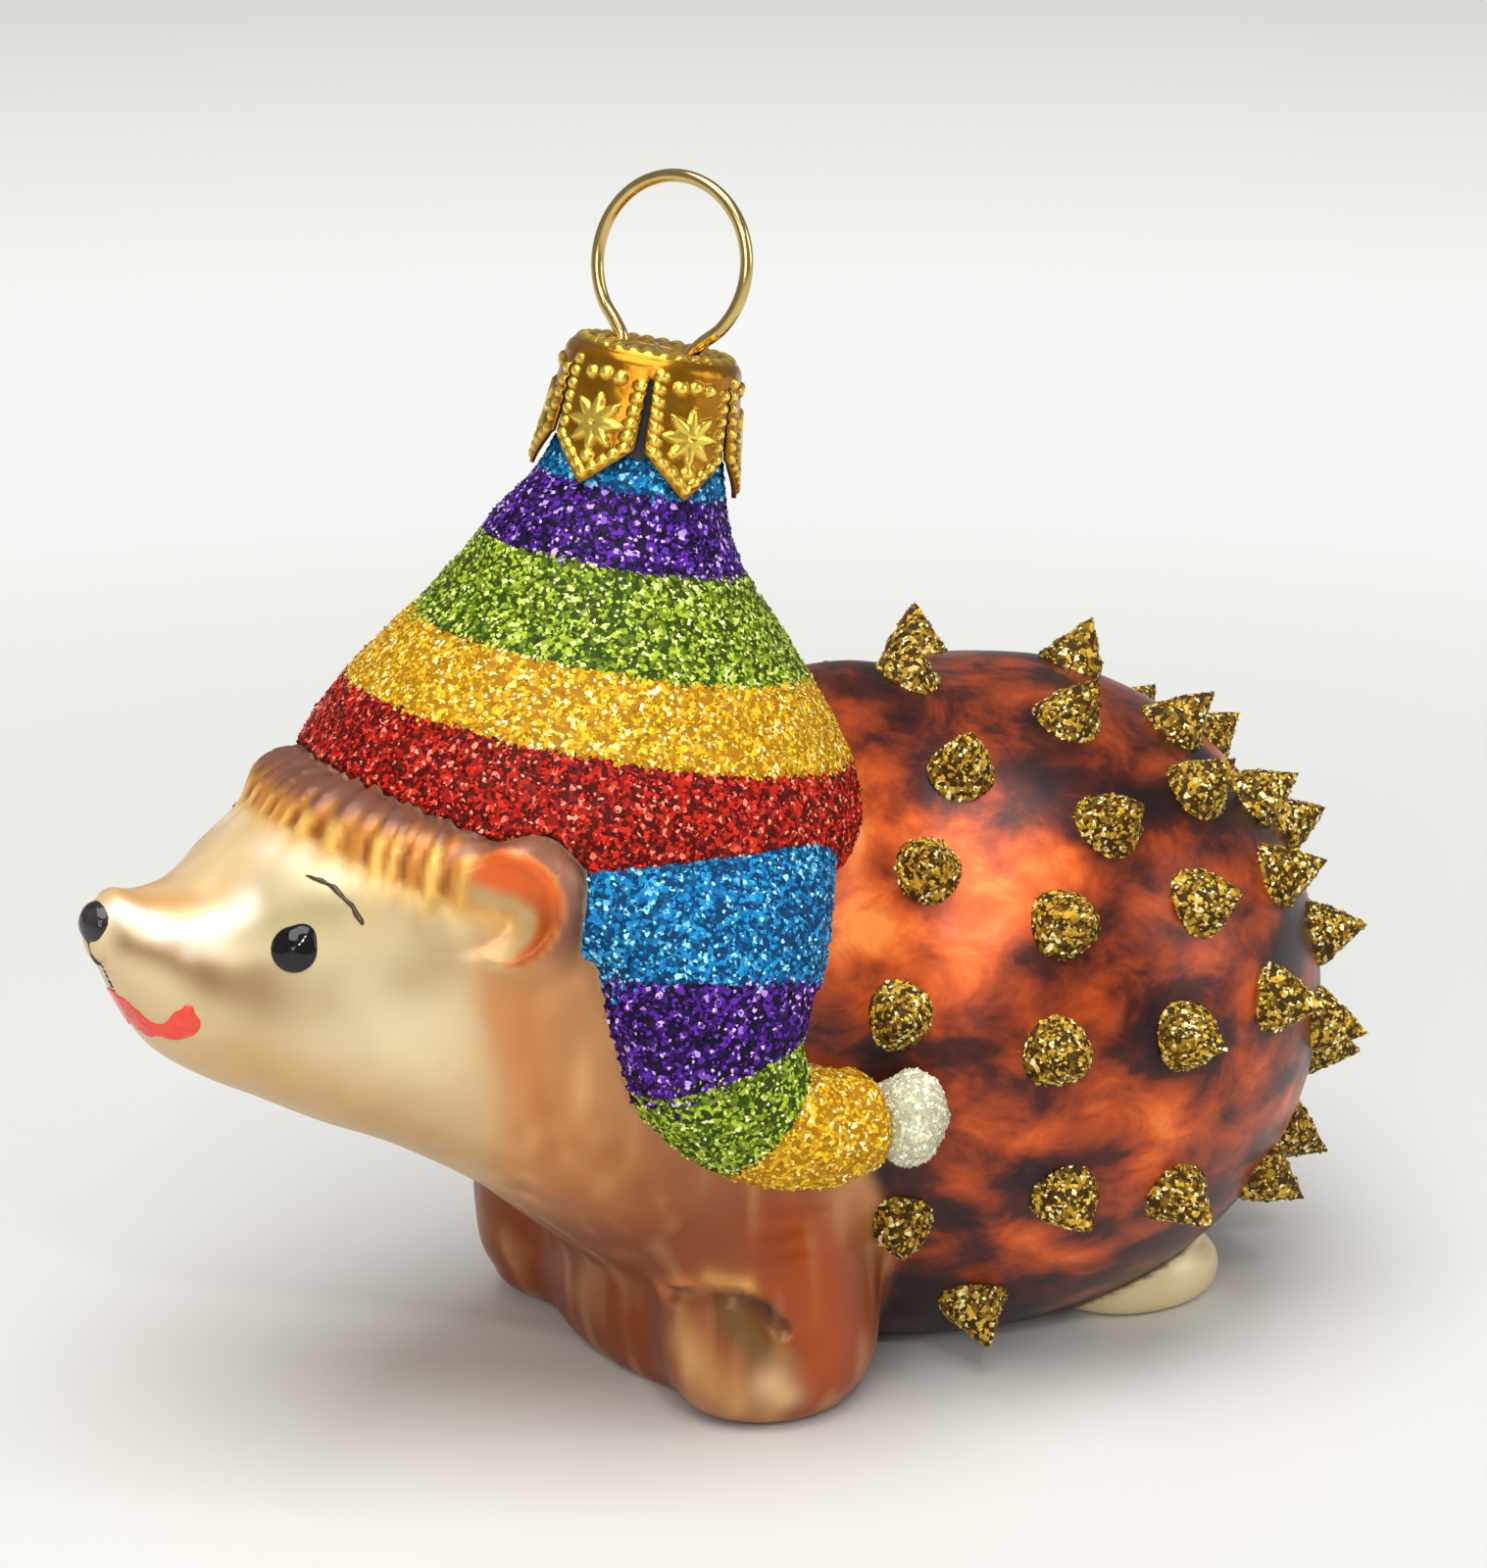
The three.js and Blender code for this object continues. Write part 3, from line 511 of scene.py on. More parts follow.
def marked(tree, shader, wide, detail, strength, deep):
    """Presses random marks, about wide millimetres across, into a surface; gives their value."""
    where = add(tree, "ShaderNodeTexCoord").outputs["Object"]
    noise = add(tree, "ShaderNodeTexNoise", {"Scale": 1 / (wide * MM), "Detail": detail}, {"Vector": where})
    marks = noise.outputs["Fac"]
    bump = add(tree, "ShaderNodeBump", {"Strength": strength, "Distance": deep * MM}, {"Height": marks})
    link(tree, shader, {"Normal": bump.outputs[0]})
    return marks


def ramp(tree, source, stops):
    """Colour ramp with stops of (place, colour), each colour in hex or linear."""
    node = add(tree, "ShaderNodeValToRGB", None, {"Fac": source})
    elements = node.color_ramp.elements
    elements.remove(elements[1])
    elements[0].position = stops[0][0]
    for i, (place, colour) in enumerate(stops):
        stop = elements.new(place) if i else elements[0]
        stop.color = (*(linear(colour) if isinstance(colour, str) else colour), 1)
    return node.outputs[0]


# ---- surfaces and flakes


def skin(distance, low, high, voxel):
    """Points and outward quads over the zero surface of a distance function, found on a grid."""
    coarse = voxel * 4
    low = np.asarray(low, float)
    count = np.ceil((np.asarray(high) - low) / coarse).astype(int)
    middles = [low[k] + (np.arange(count[k]) + 0.5) * coarse for k in range(3)]
    rough = distance(np.stack(np.meshgrid(*middles, indexing="ij"), -1).reshape(-1, 3)).reshape(count)
    fine = rough.repeat(4, 0).repeat(4, 1).repeat(4, 2)
    near = np.abs(fine) < 1.4 * coarse
    fine[near] = distance(low + np.argwhere(near) * voxel)
    inside = np.zeros(fine.shape, bool)
    inside[1:-1, 1:-1, 1:-1] = fine[1:-1, 1:-1, 1:-1] < 0
    corners = sum(
        inside[i : i - 1 or None, j : j - 1 or None, k : k - 1 or None].astype(int)
        for i, j, k in itertools.product((0, 1), repeat=3)
    )
    crossed = (corners > 0) & (corners < 8)
    number = np.full(crossed.shape, -1)
    number[crossed] = np.arange(crossed.sum())
    points = low + (np.argwhere(crossed) + 0.5) * voxel
    quads = []
    for axis in range(3):
        a, b = np.eye(3, dtype=int)[(axis + 1) % 3], np.eye(3, dtype=int)[(axis + 2) % 3]
        start = np.take(inside, range(inside.shape[axis] - 1), axis)
        edge = np.argwhere(start != np.take(inside, range(1, inside.shape[axis]), axis))
        ring = np.stack([number[tuple((edge + step).T)] for step in (-a - b, -b, 0 * a, -a)], axis=1)
        outward = start[tuple(edge.T)]
        quads.append(np.where(outward[:, None], ring, ring[:, ::-1]))
    return points, np.concatenate(quads)


def chips(points, quads, per_mm2, size, rng, tilt=0.4):
    """Closed glitter flakes scattered over quads: their points, faces and a random tone for each point."""
    a, b, c, d = (points[quads[:, k]] for k in range(4))
    across = np.cross(c - a, d - b)
    area = length(across) / 2
    count = int(area.sum() * per_mm2)
    pick = rng.choice(len(quads), count, p=area / area.sum())
    u, v = rng.random((2, count, 1))
    at = (a[pick] * (1 - u) + b[pick] * u) * (1 - v) + (d[pick] * (1 - u) + c[pick] * u) * v
    normal = unit(across[pick] / (2 * area[pick, None]) + rng.normal(0, tilt, (count, 3)))
    first = unit(np.cross(normal, rng.normal(0, 1, (count, 3))))
    second = np.cross(normal, first)
    wide = size * rng.uniform(0.75, 1.35, (count, 1))
    narrow = wide * rng.uniform(0.6, 1.0, (count, 1))
    thick = size * 0.32
    star = [first * wide, second * narrow, -first * wide, -second * narrow, normal * thick, -normal * thick]
    made = (at[:, None] + np.stack(star, axis=1)).reshape(-1, 3)
    pattern = [(i, (i + 1) % 4, 4) for i in range(4)] + [((i + 1) % 4, i, 5) for i in range(4)]
    faces = (np.array(pattern) + 6 * np.arange(count)[:, None, None]).reshape(-1, 3)
    return made, faces, np.repeat(rng.random(count), 6)


def glittered(name, points, quads, slot, node, rng, outer=slice(None), ends=(), density=1.0, size=1.0):
    """Coat with flakes over its outer quads, as one object of two materials."""
    settings = bpy.context.scene.ornament
    per_mm2, wide = density * settings.flake_density, size * settings.flake_size / MM
    extra, faces, tone = chips(points, quads[outer], per_mm2, wide, rng)
    bed = quads.tolist() + list(ends)
    every = bed + (faces + len(points)).tolist()
    made = mesh_object(name, np.concatenate([points, extra]), every, glitter(slot), [node])
    made.data.polygons.foreach_set("material_index", [0] * len(bed) + [1] * len(faces))
    made.data.polygons.foreach_set("use_smooth", [True] * len(bed) + [False] * len(faces))
    store(made.data, "tone", np.concatenate([np.zeros(len(points)), tone]))


# ---- paint on the glass


def layered(colours, layers):
    """Colours under layers of (share, hex colour), laid on in order."""
    for share, colour in layers:
        colours = colours + np.clip(share, 0, 1)[:, None] * (np.array(linear(colour)) - colours)
    return colours


# Airbrush strokes, given on the near side: colour, strength, half width, and points of the path; some are
# painted highlights and painted shade
STROKES = [
    ("#CFC29A", 0.8, 5.0, [(-33, -9, 44), (-26, -14, 43)]),
    ("#E9C48E", 0.8, 3.0, [(-43.0, -0.5, 45.6), (-38.5, -2.0, 45.8), (-34.6, -2.5, 47.6)]),
    ("#D59A5C", 0.75, 1.5, [(-43.9, -1.0, 45.9), (-41.3, -2.2, 45.4), (-38.8, -4.2, 44.9)]),
    # Painted highlights on the forehead
    ("#FBEFD2", 0.7, 2.2, [(-32.4, -3.0, 49.3), (-30.9, -7.4, 48.5)]),
    ("#FFF3D4", 0.8, 1.5, [(-29.2, -9.5, 49.2), (-26.4, -12.9, 48.4)]),
    ("#F0D49C", 0.6, 1.2, [(-35.3, -0.6, 47.9), (-37.6, -1.6, 46.3)]),
    # Painted shade and painted reflection round the eye
    ("#AA9A6A", 0.8, 3.0, [(-35.4, -8.4, 44.6), (-32.6, -10.4, 44.2)]),
    ("#9A8A58", 0.55, 1.6, [(-35.6, -7.2, 45.9), (-33.4, -8.8, 45.8), (-32.0, -10.6, 44.6)]),
    # Painted highlights: a white wedge from the nose tip under the bridge, and a patch in front of the eye
    ("#FFFBEA", 0.95, 0.8, [(-45.2, -1.5, 45.2), (-43.9, -2.9, 44.7), (-42.2, -4.4, 43.5),
                            (-41.0, -5.2, 42.6)]),
    ("#FFF4DA", 0.9, 1.4, [(-39.8, -5.8, 43.1), (-38.3, -5.8, 44.2), (-37.0, -6.0, 45.1)]),
    # Painted shade from the nose along the upper lip, under the eye and over the cheek
    ("#8E6A3C", 0.85, 1.2, [(-44.8, -3.0, 43.0), (-42.8, -4.6, 42.1), (-40.0, -6.6, 40.8)]),
    ("#8E6C3E", 0.85, 2.2, [(-39.6, -7.0, 40.4), (-37.2, -8.6, 39.6)]),
    ("#A88A5A", 0.6, 2.8, [(-36.4, -9.2, 38.6), (-33.6, -11.2, 38.2)]),
    # Painted shade on the temple, between the brow and the ear
    ("#A48A58", 0.7, 2.6, [(-29.4, -12.2, 44.6), (-26.8, -14.2, 44.8)]),
    ("#8A6C3E", 0.7, 1.7, [(-27.4, -13.0, 46.7), (-24.2, -14.6, 46.4)]),
    ("#A68652", 0.6, 2.4, [(-27.5, -14.6, 40.4), (-25.6, -15.6, 42.0)]),
    # Painted highlight low on the cheek
    ("#EBD8AE", 0.4, 3.0, [(-33.4, -12.2, 35.6), (-28.0, -15.0, 36.4)]),
    ("#C89A5E", 0.6, 3.6, [(-38.0, -6.6, 33.0), (-30.0, -11.0, 28.4), (-22.0, -13.6, 23.2)]),
    ("#C47A3C", 0.8, 3.4, [(-20.6, -17.6, 38.6), (-19.4, -17.0, 30.0), (-16.6, -15.0, 22.0)]),
    ("#AE6A2C", 0.7, 4.0, [(-14.0, -17.6, 24.0), (-12.0, -16.6, 20.0)]),
    ("#864216", 0.9, 4.8, [(-9.0, -9.0, 14.5), (-6.5, -14.0, 13.0), (-3.0, -18.0, 15.0)]),
    ("#A8440A", 0.9, 3.8, [(1.5, -20.8, 17.0), (3.0, -21.4, 10.0), (3.4, -21.2, 5.0)]),
    ("#C08C50", 0.9, 2.2, [(-5.2, -15.0, 7.0), (-3.4, -18.0, 3.6), (-1.5, -19.5, 1.5)]),
    ("#6A4A14", 0.95, 1.9, [(-3.2, -18.9, 9.9), (-1.6, -20.2, 7.6), (-0.6, -20.7, 6.0)]),
    ("#D8B080", 0.9, 1.5, [(-1.2, -20.8, 4.6), (0.2, -21.0, 3.2)]),
    ("#E88A40", 0.9, 1.0, [(-5.2, -12.0, 10.4), (-5.0, -15.4, 11.6)]),
    ("#F0B060", 0.8, 0.8, [(-4.4, -17.2, 12.8), (-2.2, -19.2, 12.6)]),
    # Painted shade in the crease over the paw's pad
    ("#2A1208", 0.95, 0.6, PAW_CREASE),
]


def painted(p, n):
    """Airbrushed colour of the figure at each point, with painted highlights and shade, the back's share of
    lacquer there, and the tone of the back's blots with painted light and shade.
    """
    d = parts_of(p)
    x, z = p[:, 0], p[:, 2]
    u, v, h = neck_frame(p)
    near = near_side(p)
    wobble, fine = noise3(p, 6, 1), noise3(p, 1.8, 2)
    streak = noise3(p * (0.9, 0.9, 0.25), 1.3, 3)
    # Pearl ground, brown behind the cheek, deeper towards the leg, and painted shade on the down-facing
    # surfaces below the chin
    c = layered(np.tile(linear("#DEC798"), (len(p), 1)), [
        (0.85 * step_up(-22.5, -19.5, x + 0.25 * (z - 30) + 0.8 * wobble + 0.4 * fine), "#C8844A"),
        (step_up(27, 14, z + 0.5 * x + 2.0 * wobble) * step_up(-19, -9, x), "#8C3E0C"),
        (0.5 * step_up(0.0, -0.8, n[:, 2]) * step_up(-14, -24, x), "#B88C54"),
    ])
    for colour, strength, width, path in STROKES:
        c = layered(c, [(groove(to_line(near + 0.35 * fine[:, None], path), strength, width), colour)])
    # Streaks down the chest, then the hair: a warm edge, dark roots, light and dark strands, with painted
    # light and shade on the locks
    strand = strands(np.arctan2(v, -(u + FRINGE[0])))
    hair = step_up(0.9, -0.2, d["fringe"] - np.minimum(d["trunk"], d["crown"]))
    low = hair * step_up(-3.0, -4.6, h)
    c = layered(c, [
        (0.4 * step_up(-23, -17, x) * np.maximum(streak, 0), "#E8B478"),
        (0.35 * step_up(-23, -17, x) * np.maximum(-streak, 0), "#7E4620"),
        (0.8 * step_up(2.6, 0.2, d["fringe"]), "#E6B45A"),
        (hair, "#CE8634"),
        (hair * step_up(-4.2, -2.4, h + 0.5 * strand), "#80503E"),
        # Light strands on the raised locks are a painted highlight; the dark strands in the grooves between
        # them are painted strands and painted shade
        (0.85 * low * step_up(0.1, 0.6, strand), "#F8CC6A"),
        (0.85 * low * step_up(-0.3, -0.7, strand), "#8A4414"),
    ])
    for dent in HAIR_DENTS:
        lock = to_line(near, np.array(dent) - [(0.6, 0.5, 0.3), (1.8, 1.2, 1.3), (2.6, 1.8, 2.4)])
        c = layered(c, [(0.85 * hair * groove(lock, 1.0, 0.36), "#5E2E20")])
    # Ears: dark behind with painted shade next to the hat, sandy in the hollow, with an orange lip
    hollow = np.minimum(ear(p, EAR_HOLLOW, -1), ear(p, EAR_HOLLOW, 1))
    within = step_up(1.2, 0.5, hollow)
    fold = step_up(0.9, -0.2, d["ear"] - np.minimum(d["trunk"], d["crown"])) * (1 - within)
    within = within * step_up(0.3, 0.9, d["trunk"]) * step_up(0.8, 0.0, d["ear"])
    lip = within * step_up(1.3, 2.3, d["trunk"])
    # Hind feet are pearl, the hat under its glitter is grey, and the neck under the cap is painted dark as
    # painted shade for the slits between the cap's tabs
    foot = step_up(0.5, -0.3, d["foot"] - d["body"])
    others = np.min([d[name] for name in ("bulk", "fringe", "ear", "leg")], axis=0)
    hat = step_up(0.6, -0.3, np.minimum(d["crown"], d["tail"]) - others)
    c = layered(c, [
        (fold * step_up(40.5, 43.5, z), "#96624A"),
        # Painted shade at the back of the ear, next to the hat
        (0.8 * fold * step_up(-17.6, -15.4, x) * step_up(41, 44, z), "#5A3C30"),
        (within, "#C2A06A"),
        (lip, "#E2621C"),
        (0.85 * lip * step_up(47.5, 44.5, z), "#A04C10"),
        (0.6 * lip * step_up(0.4, 0.9, hollow), "#FFA050"),
        (foot, "#E2CFA0"),
        (hat, "#B9B294"),
        # Painted shade: the neck under the cap, dark in the slits between the tabs
        (step_up(22.0, 25.0, h) * (np.hypot(u, v) < 9), "#2C3034"),
    ])
    back = step_up(-1.5, 3.5, x + 0.1 * (z - 20) + 1.2 * wobble)
    back *= step_up(-0.5, 1.5, np.minimum(d["leg"], d["chest"]) - np.minimum(d["body"], d["trunk"]))
    back *= (1 - foot) * (1 - hat)
    # Blots of the back, with painted light and shade: a painted reflection of light behind the neck, darker
    # towards the back, painted shade low down and behind the leg, and painted shade and reflection by each
    # thorn
    blots_light_shade = -0.19 + 0.2 * noise3(p * (0.8, 0.8, 1.2), 8, 21) + 0.3 * noise3(p * (0.85, 0.85, 1.3), 4.2, 22)
    blots_light_shade += 0.26 * step_up(18, 4, length(near - (8, -20, 44))) - 0.12 * step_up(22, 45, x)
    blots_light_shade -= 0.35 * step_up(12, 3, z) + 0.2 * step_up(16, 4, length(near - (6, -22, 25)))
    for node in THORNS:
        shade = sum(node_box(node)) / 2 + (-1.8, 1.2, -1.8)
        blots_light_shade -= groove(length((p - shade) * (1, 1, 1.3)), 0.34, 2.3)
    return c * (1 + 0.05 * fine)[:, None], back, blots_light_shade


# ---- settings


class OrnamentSettings(bpy.types.PropertyGroup):
    """Sizes and colours of the ornament's finishes."""

    glass_grid: FloatProperty(
        name="Glass grid", description="Spacing of the glass surface's points",
        default=0.53 * MM, min=0.3 * MM, unit="LENGTH",
    )
    flake_size: FloatProperty(
        name="Flake size", description="Half width of a glitter flake",
        default=0.21 * MM, min=0.1 * MM, unit="LENGTH",
    )
    flake_density: FloatProperty(
        name="Flakes per mm²", description="Glitter flakes on each square millimetre", default=6.5, min=0,
    )
    gilt: FloatVectorProperty(
        name="Gilt", description="Colour of the cap's gilt",
        default=linear("#FFDC5C"), min=0, max=1, size=3, subtype="COLOR",
    )
    wire: FloatVectorProperty(
        name="Wire", description="Colour of the gilt wire",
        default=linear("#E6CC8C"), min=0, max=1, size=3, subtype="COLOR",
    )
    floor: FloatVectorProperty(
        name="Floor", description="Colour of the table top",
        default=linear("#DEDEDB"), min=0, max=1, size=3, subtype="COLOR",
    )


# Glitter tones by slot: painted shade in the gaps between flakes, flake in painted shade, plain flake, flake
# with a painted highlight
GLITTER = {
    "glitter_red": ("#4E0502", "#9A140A", "#D62C14", "#FF9C7C"),
    "glitter_yellow": ("#A87408", "#CE9A14", "#F6CC2A", "#FFFFC0"),
    "glitter_green": ("#30440A", "#6C8618", "#B8CE34", "#FBFFB0"),
    "glitter_purple": ("#100424", "#30105E", "#6628B2", "#E6BCFF"),
    "glitter_blue": ("#053A62", "#0C6CA8", "#2298D4", "#A8F4FF"),
    "glitter_pale": ("#B4B294", "#CCCAAA", "#E8E6C8", "#FFFFFA"),
    "glitter_gold": ("#3E2A08", "#8C6818", "#D8AE38", "#FFFCC4"),
}


def glitter(slot):
    """Coloured PET glitter in clear adhesive: a darker bed and bright flat flakes, in tones from painted
    shade to painted highlights for flakes that catch the light.
    """
    names = slot + "_bed", slot + "_flakes"
    if names[0] in bpy.data.materials:
        return [bpy.data.materials[name] for name in names]
    gap_shade, shade, plain, lit = GLITTER[slot]
    bed, tree, shader = material(names[0], {"Roughness": 0.6, "Specular IOR Level": 0.15})
    where = add(tree, "ShaderNodeTexCoord").outputs["Object"]
    # Flakes of 0.4 mm, half buried in the adhesive
    cells = add(tree, "ShaderNodeTexVoronoi", {"Scale": 1 / (0.42 * MM)}, {"Vector": where})
    tone = add(tree, "ShaderNodeSeparateColor", None, {"Color": cells.outputs["Color"]}).outputs[0]
    colour = ramp(tree, tone, [(0.0, gap_shade), (0.4, gap_shade), (0.7, shade), (0.93, plain), (1.0, lit)])
    bump = add(tree, "ShaderNodeBump", {"Strength": 0.9, "Distance": 0.15 * MM}, {"Height": tone})
    link(tree, shader, {"Base Color": colour, "Normal": bump.outputs[0]})
    flake, tree, shader = material(names[1], {"Metallic": 0.25, "Roughness": 0.25, "Specular IOR Level": 0.2})
    tone = add(tree, "ShaderNodeAttribute", {"attribute_name": "tone"}).outputs["Fac"]
    stops = [(0.0, gap_shade), (0.16, gap_shade), (0.34, shade), (0.6, plain), (0.84, plain), (0.92, lit)]
    link(tree, shader, {"Base Color": ramp(tree, tone, stops)})
    return bed, flake


# ---- pieces


class ORNAMENT_OT_glass(bpy.types.Operator):
    """Blow the figure in one piece and lacquer it"""

    bl_idname = "ornament.glass"
    bl_label = "Glass Figure"

    def execute(self, context):
        voxel = context.scene.ornament.glass_grid / MM
        p, quads = skin(figure, *SPACE, voxel)
        p = relaxed(relaxed(settle(p, 2)[0], quads), quads)
        p, n = settle(p, 2)
        made = mesh_object("figure_glass", p, quads.tolist(), [lacquer()], ["glass_body"])
        colours, back, blots_light_shade = painted(p, n)
        store_colour(made.data, "paint", colours)
        store(made.data, "dome", back)
        store(made.data, "blots_light_and_shade", blots_light_shade)
        return {"FINISHED"}


def lacquer():
    """Pearl and brown lacquer, airbrushed on blown glass: satin sheen under a clear gloss."""
    made, tree, shader = material("pearl_lacquer_on_glass", {
        "Roughness": 0.38, "Specular IOR Level": 0.35, "Coat Weight": 0.14, "Coat Roughness": 0.22,
    })
    where = add(tree, "ShaderNodeTexCoord").outputs["Object"]
    paint = add(tree, "ShaderNodeAttribute", {"attribute_name": "paint"}).outputs["Color"]
    dome = add(tree, "ShaderNodeAttribute", {"attribute_name": "dome"}).outputs["Fac"]
    # Tortoiseshell blots of lacquer on the back, 3 to 8 mm wide, with cloudy edges, toned with the painted
    # light and shade stored on the glass
    blots_light_shade = add(tree, "ShaderNodeAttribute", {"attribute_name": "blots_light_and_shade"}).outputs["Fac"]
    flat = add(tree, "ShaderNodeMapping", {"Scale": (1, 1, 1.5)}, {"Vector": where}).outputs[0]
    cloudy = {"Scale": 1 / (6 * MM), "Detail": 5.0, "Roughness": 0.6, "Distortion": 0.4}
    blots = add(tree, "ShaderNodeTexNoise", cloudy, {"Vector": flat}).outputs["Fac"]
    blot_tone_with_light = add(tree, "ShaderNodeMath", {"operation": "MULTIPLY_ADD", 1: 1.3}, {0: blots, 2: blots_light_shade})
    brown = ramp(tree, blot_tone_with_light.outputs[0], [
        (0.12, "#240C10"), (0.3, "#4E1A10"), (0.44, "#863210"), (0.58, "#AC4414"), (0.76, "#DA6020"),
        (0.98, "#F88C3C"),
    ])
    # Silvered glass shows through the back's lacquer, and less through the pearl
    silver = add(tree, "ShaderNodeMapRange", {"To Min": 0.25, "To Max": 0.35}, {"Value": dome}).outputs[0]
    colour = add(tree, "ShaderNodeMix", {"data_type": "RGBA"}, {0: dome, 6: paint, 7: brown}).outputs[2]
    # Orange-peel of the sprayed lacquer, about 1.6 mm across
    marked(tree, shader, 1.6, 3.0, 0.2, 0.1)
    link(tree, shader, {"Metallic": silver, "Base Color": colour})
    return made


class ORNAMENT_OT_bands(bpy.types.Operator):
    """Coat the hat and its tail with bands of glitter"""

    bl_idname = "ornament.bands"
    bl_label = "Glitter Bands"

    def execute(self, context):
        rng = np.random.default_rng(7)
        for kind, bands in BANDS.items():
            for colour, start, end in bands:
                band(kind, colour, start, end, rng)
        return {"FINISHED"}


def band(kind, colour, start, end, rng):
    """One band: a rough shell over the glass, between two heights or shares of the tail."""
    tail = kind == "tail"

    def shell(p):
        d = parts_of(p)
        rest = np.min([d[name] for name in ("bulk", "fringe", "ear")], axis=0)
        rough = 0.12 * noise3(p, 0.9, 3) + 0.1 * noise3(p, 2.5, 4)
        wave = 0.35 * noise3(p, 3.0, 5)
        if tail:
            along = d["tail_share"] * TAIL_LENGTH
            span = np.maximum(start * TAIL_LENGTH - along, along - end * TAIL_LENGTH) + wave - 0.3
            own = d["tail"] - np.minimum(d["crown"], rest)
        else:
            height = neck_frame(p)[2]
            span = np.maximum(start - height, height - end) + wave - 0.3
            own = d["crown"] - np.minimum(d["tail"], rest)
        whole = figure(p)
        coat = np.maximum(whole - COAT_DEEP - rough, -whole - COAT_SUNK)
        return np.maximum(coat, np.maximum(span, 0.7 * own - 0.05))

    if tail:
        low, high = TAIL_SPACE
    else:
        middle = from_neck(0.0, 0.0, (start + end) / 2)
        reach = np.array((24, 23, (end - start) / 2 + 6))
        low, high = middle - reach, middle + reach
    points, quads = skin(shell, low, high, COAT_GRID)
    points = relaxed(onto(shell, points), quads, 0.4)
    outer = figure(points[quads].mean(1)) > 0.15
    name, node, slot = f"{kind}_glitter_{colour}", f"{kind}_coat_{colour}", f"glitter_{colour}"
    glittered(name, points, quads, slot, node, rng, outer)


class ORNAMENT_OT_bobble(bpy.types.Operator):
    """Dip the bobble in pale sugar glitter"""

    bl_idname = "ornament.bobble"
    bl_label = "Bobble"

    def execute(self, context):
        low, high = node_box("bobble")
        middle, half = (low + high) / 2, (high - low) / 2

        def ball(p):
            return oval(p, (*middle, *(half - 0.35))) - 0.4 * noise3(p, 1.5, 8) - 0.75 * noise3(p, 2.7, 9)

        points, quads = skin(ball, low - 1.5, high + 1.5, BOBBLE_GRID)
        rng = np.random.default_rng(11)
        finer = {"density": 1.4, "size": 0.9}
        glittered("bobble_glitter", onto(ball, points), quads, "glitter_pale", "bobble", rng, **finer)
        return {"FINISHED"}


class ORNAMENT_OT_thorns(bpy.types.Operator):
    """Draw the thorns over the back and coat them with gold glitter"""

    bl_idname = "ornament.thorns"
    bl_label = "Thorns"

    def execute(self, context):
        rng = np.random.default_rng(5)
        turn = np.arange(THORN_SIDES) * 2 * np.pi / THORN_SIDES
        for node in THORNS:
            p = coordinates(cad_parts[node].data)
            away = figure(p)
            tip = p[np.argmax(away)]
            foot, n = (row[0] for row in settle(p[away < 0.9].mean(0)[None]))
            height = np.dot(tip - foot, n)
            first = np.cross(n, (0.3, 0.5, 0.8))
            first /= np.linalg.norm(first)
            around = np.cos(turn)[:, None] * first + np.sin(turn)[:, None] * np.cross(n, first)
            rows = []
            for t in np.arange(THORN_RINGS + 1) / THORN_RINGS:
                centre = foot + n * (height * t - 0.5) + (tip - foot - n * height) * t * t
                radius = THORN_FOOT * (1 - t) ** 1.15 * (1 + 0.5 * t) + THORN_TIP
                uneven = 1 + 0.06 * np.sin(3 * turn + rng.random() * 6)
                radius = radius * uneven * (1 - 0.7 * step_up(0.92, 1.0, t))
                rows.append(centre + radius[:, None] * around)
            points = np.concatenate([*rows, [foot - 0.5 * n], [rows[-1].mean(0) + 0.15 * n]])
            points[:-2] += 0.12 * noise3(points[:-2], 1.0, 6)[:, None] * n
            quads = tube(THORN_RINGS + 1, THORN_SIDES)
            last, below, above = THORN_RINGS * THORN_SIDES, len(points) - 2, len(points) - 1
            pairs = [(i, (i + 1) % THORN_SIDES) for i in range(THORN_SIDES)]
            ends = [(b, below, a) for a, b in pairs] + [(a + last, b + last, above) for a, b in pairs]
            name = node.replace("thorn", "spine")
            glittered(name, points, quads, "glitter_gold", node, rng, ends=ends)
        return {"FINISHED"}


def enamel(name, thin, thick):
    """Glossy enamel, brushed on and dried in a raised drop."""
    made, tree, shader = material(name, {"Roughness": 0.08, "Specular IOR Level": 0.4})
    # Brush marks and thin places about 1 mm across
    marks = marked(tree, shader, 1.1, 2.0, 0.1, 0.05)
    link(tree, shader, {"Base Color": ramp(tree, marks, [(0.3, thin), (0.7, thick)])})
    return made


# Brush strokes on the near side: x, y, z and half width
MOUTH = [
    (-44.9, -0.2, 38.0, 0.5), (-44.1, -0.9, 36.9, 1.45), (-43.4, -1.7, 36.1, 1.25), (-42.7, -2.9, 35.8, 0.65),
    (-41.9, -4.0, 35.9, 0.85), (-41.35, -4.9, 36.7, 1.15), (-41.3, -5.4, 37.8, 0.45),
]
BROW = [
    (-32.6, -7.6, 47.2, 0.14), (-31.9, -8.7, 47.05, 0.24), (-31.3, -9.5, 46.7, 0.22),
    (-30.6, -11.0, 45.5, 0.24), (-30.3, -11.9, 44.4, 0.16),
]
# The nose's drop and its two lobes, and the line that runs down from it
NOSE = (-46.9, 0, 44.1, 2.6, 2.0, 1.45)
NOSTRIL = (-46.7, -0.9, 43.7, 2.0, 0.9, 1.0)
NOSE_LINE = [(-46.6, -0.3, 43.0), (-46.2, -0.4, 40.8), (-45.2, -0.5, 38.6)]
# Radius of an eye's drop and of the lobe above it, and how deep enamel reaches into the glass
EYE_RADIUS = 1.72
EYE_LOBE = 1.15
ENAMEL_SUNK = 0.5


def enamelled(name, distance, low, high, voxel, finish, replaced=()):
    """Drop or stroke of enamel, as one smoothed object."""
    points, quads = skin(distance, low, high, voxel)
    points = relaxed(onto(distance, points), quads)
    mesh_object(name, points, quads.tolist(), [finish], replaced)


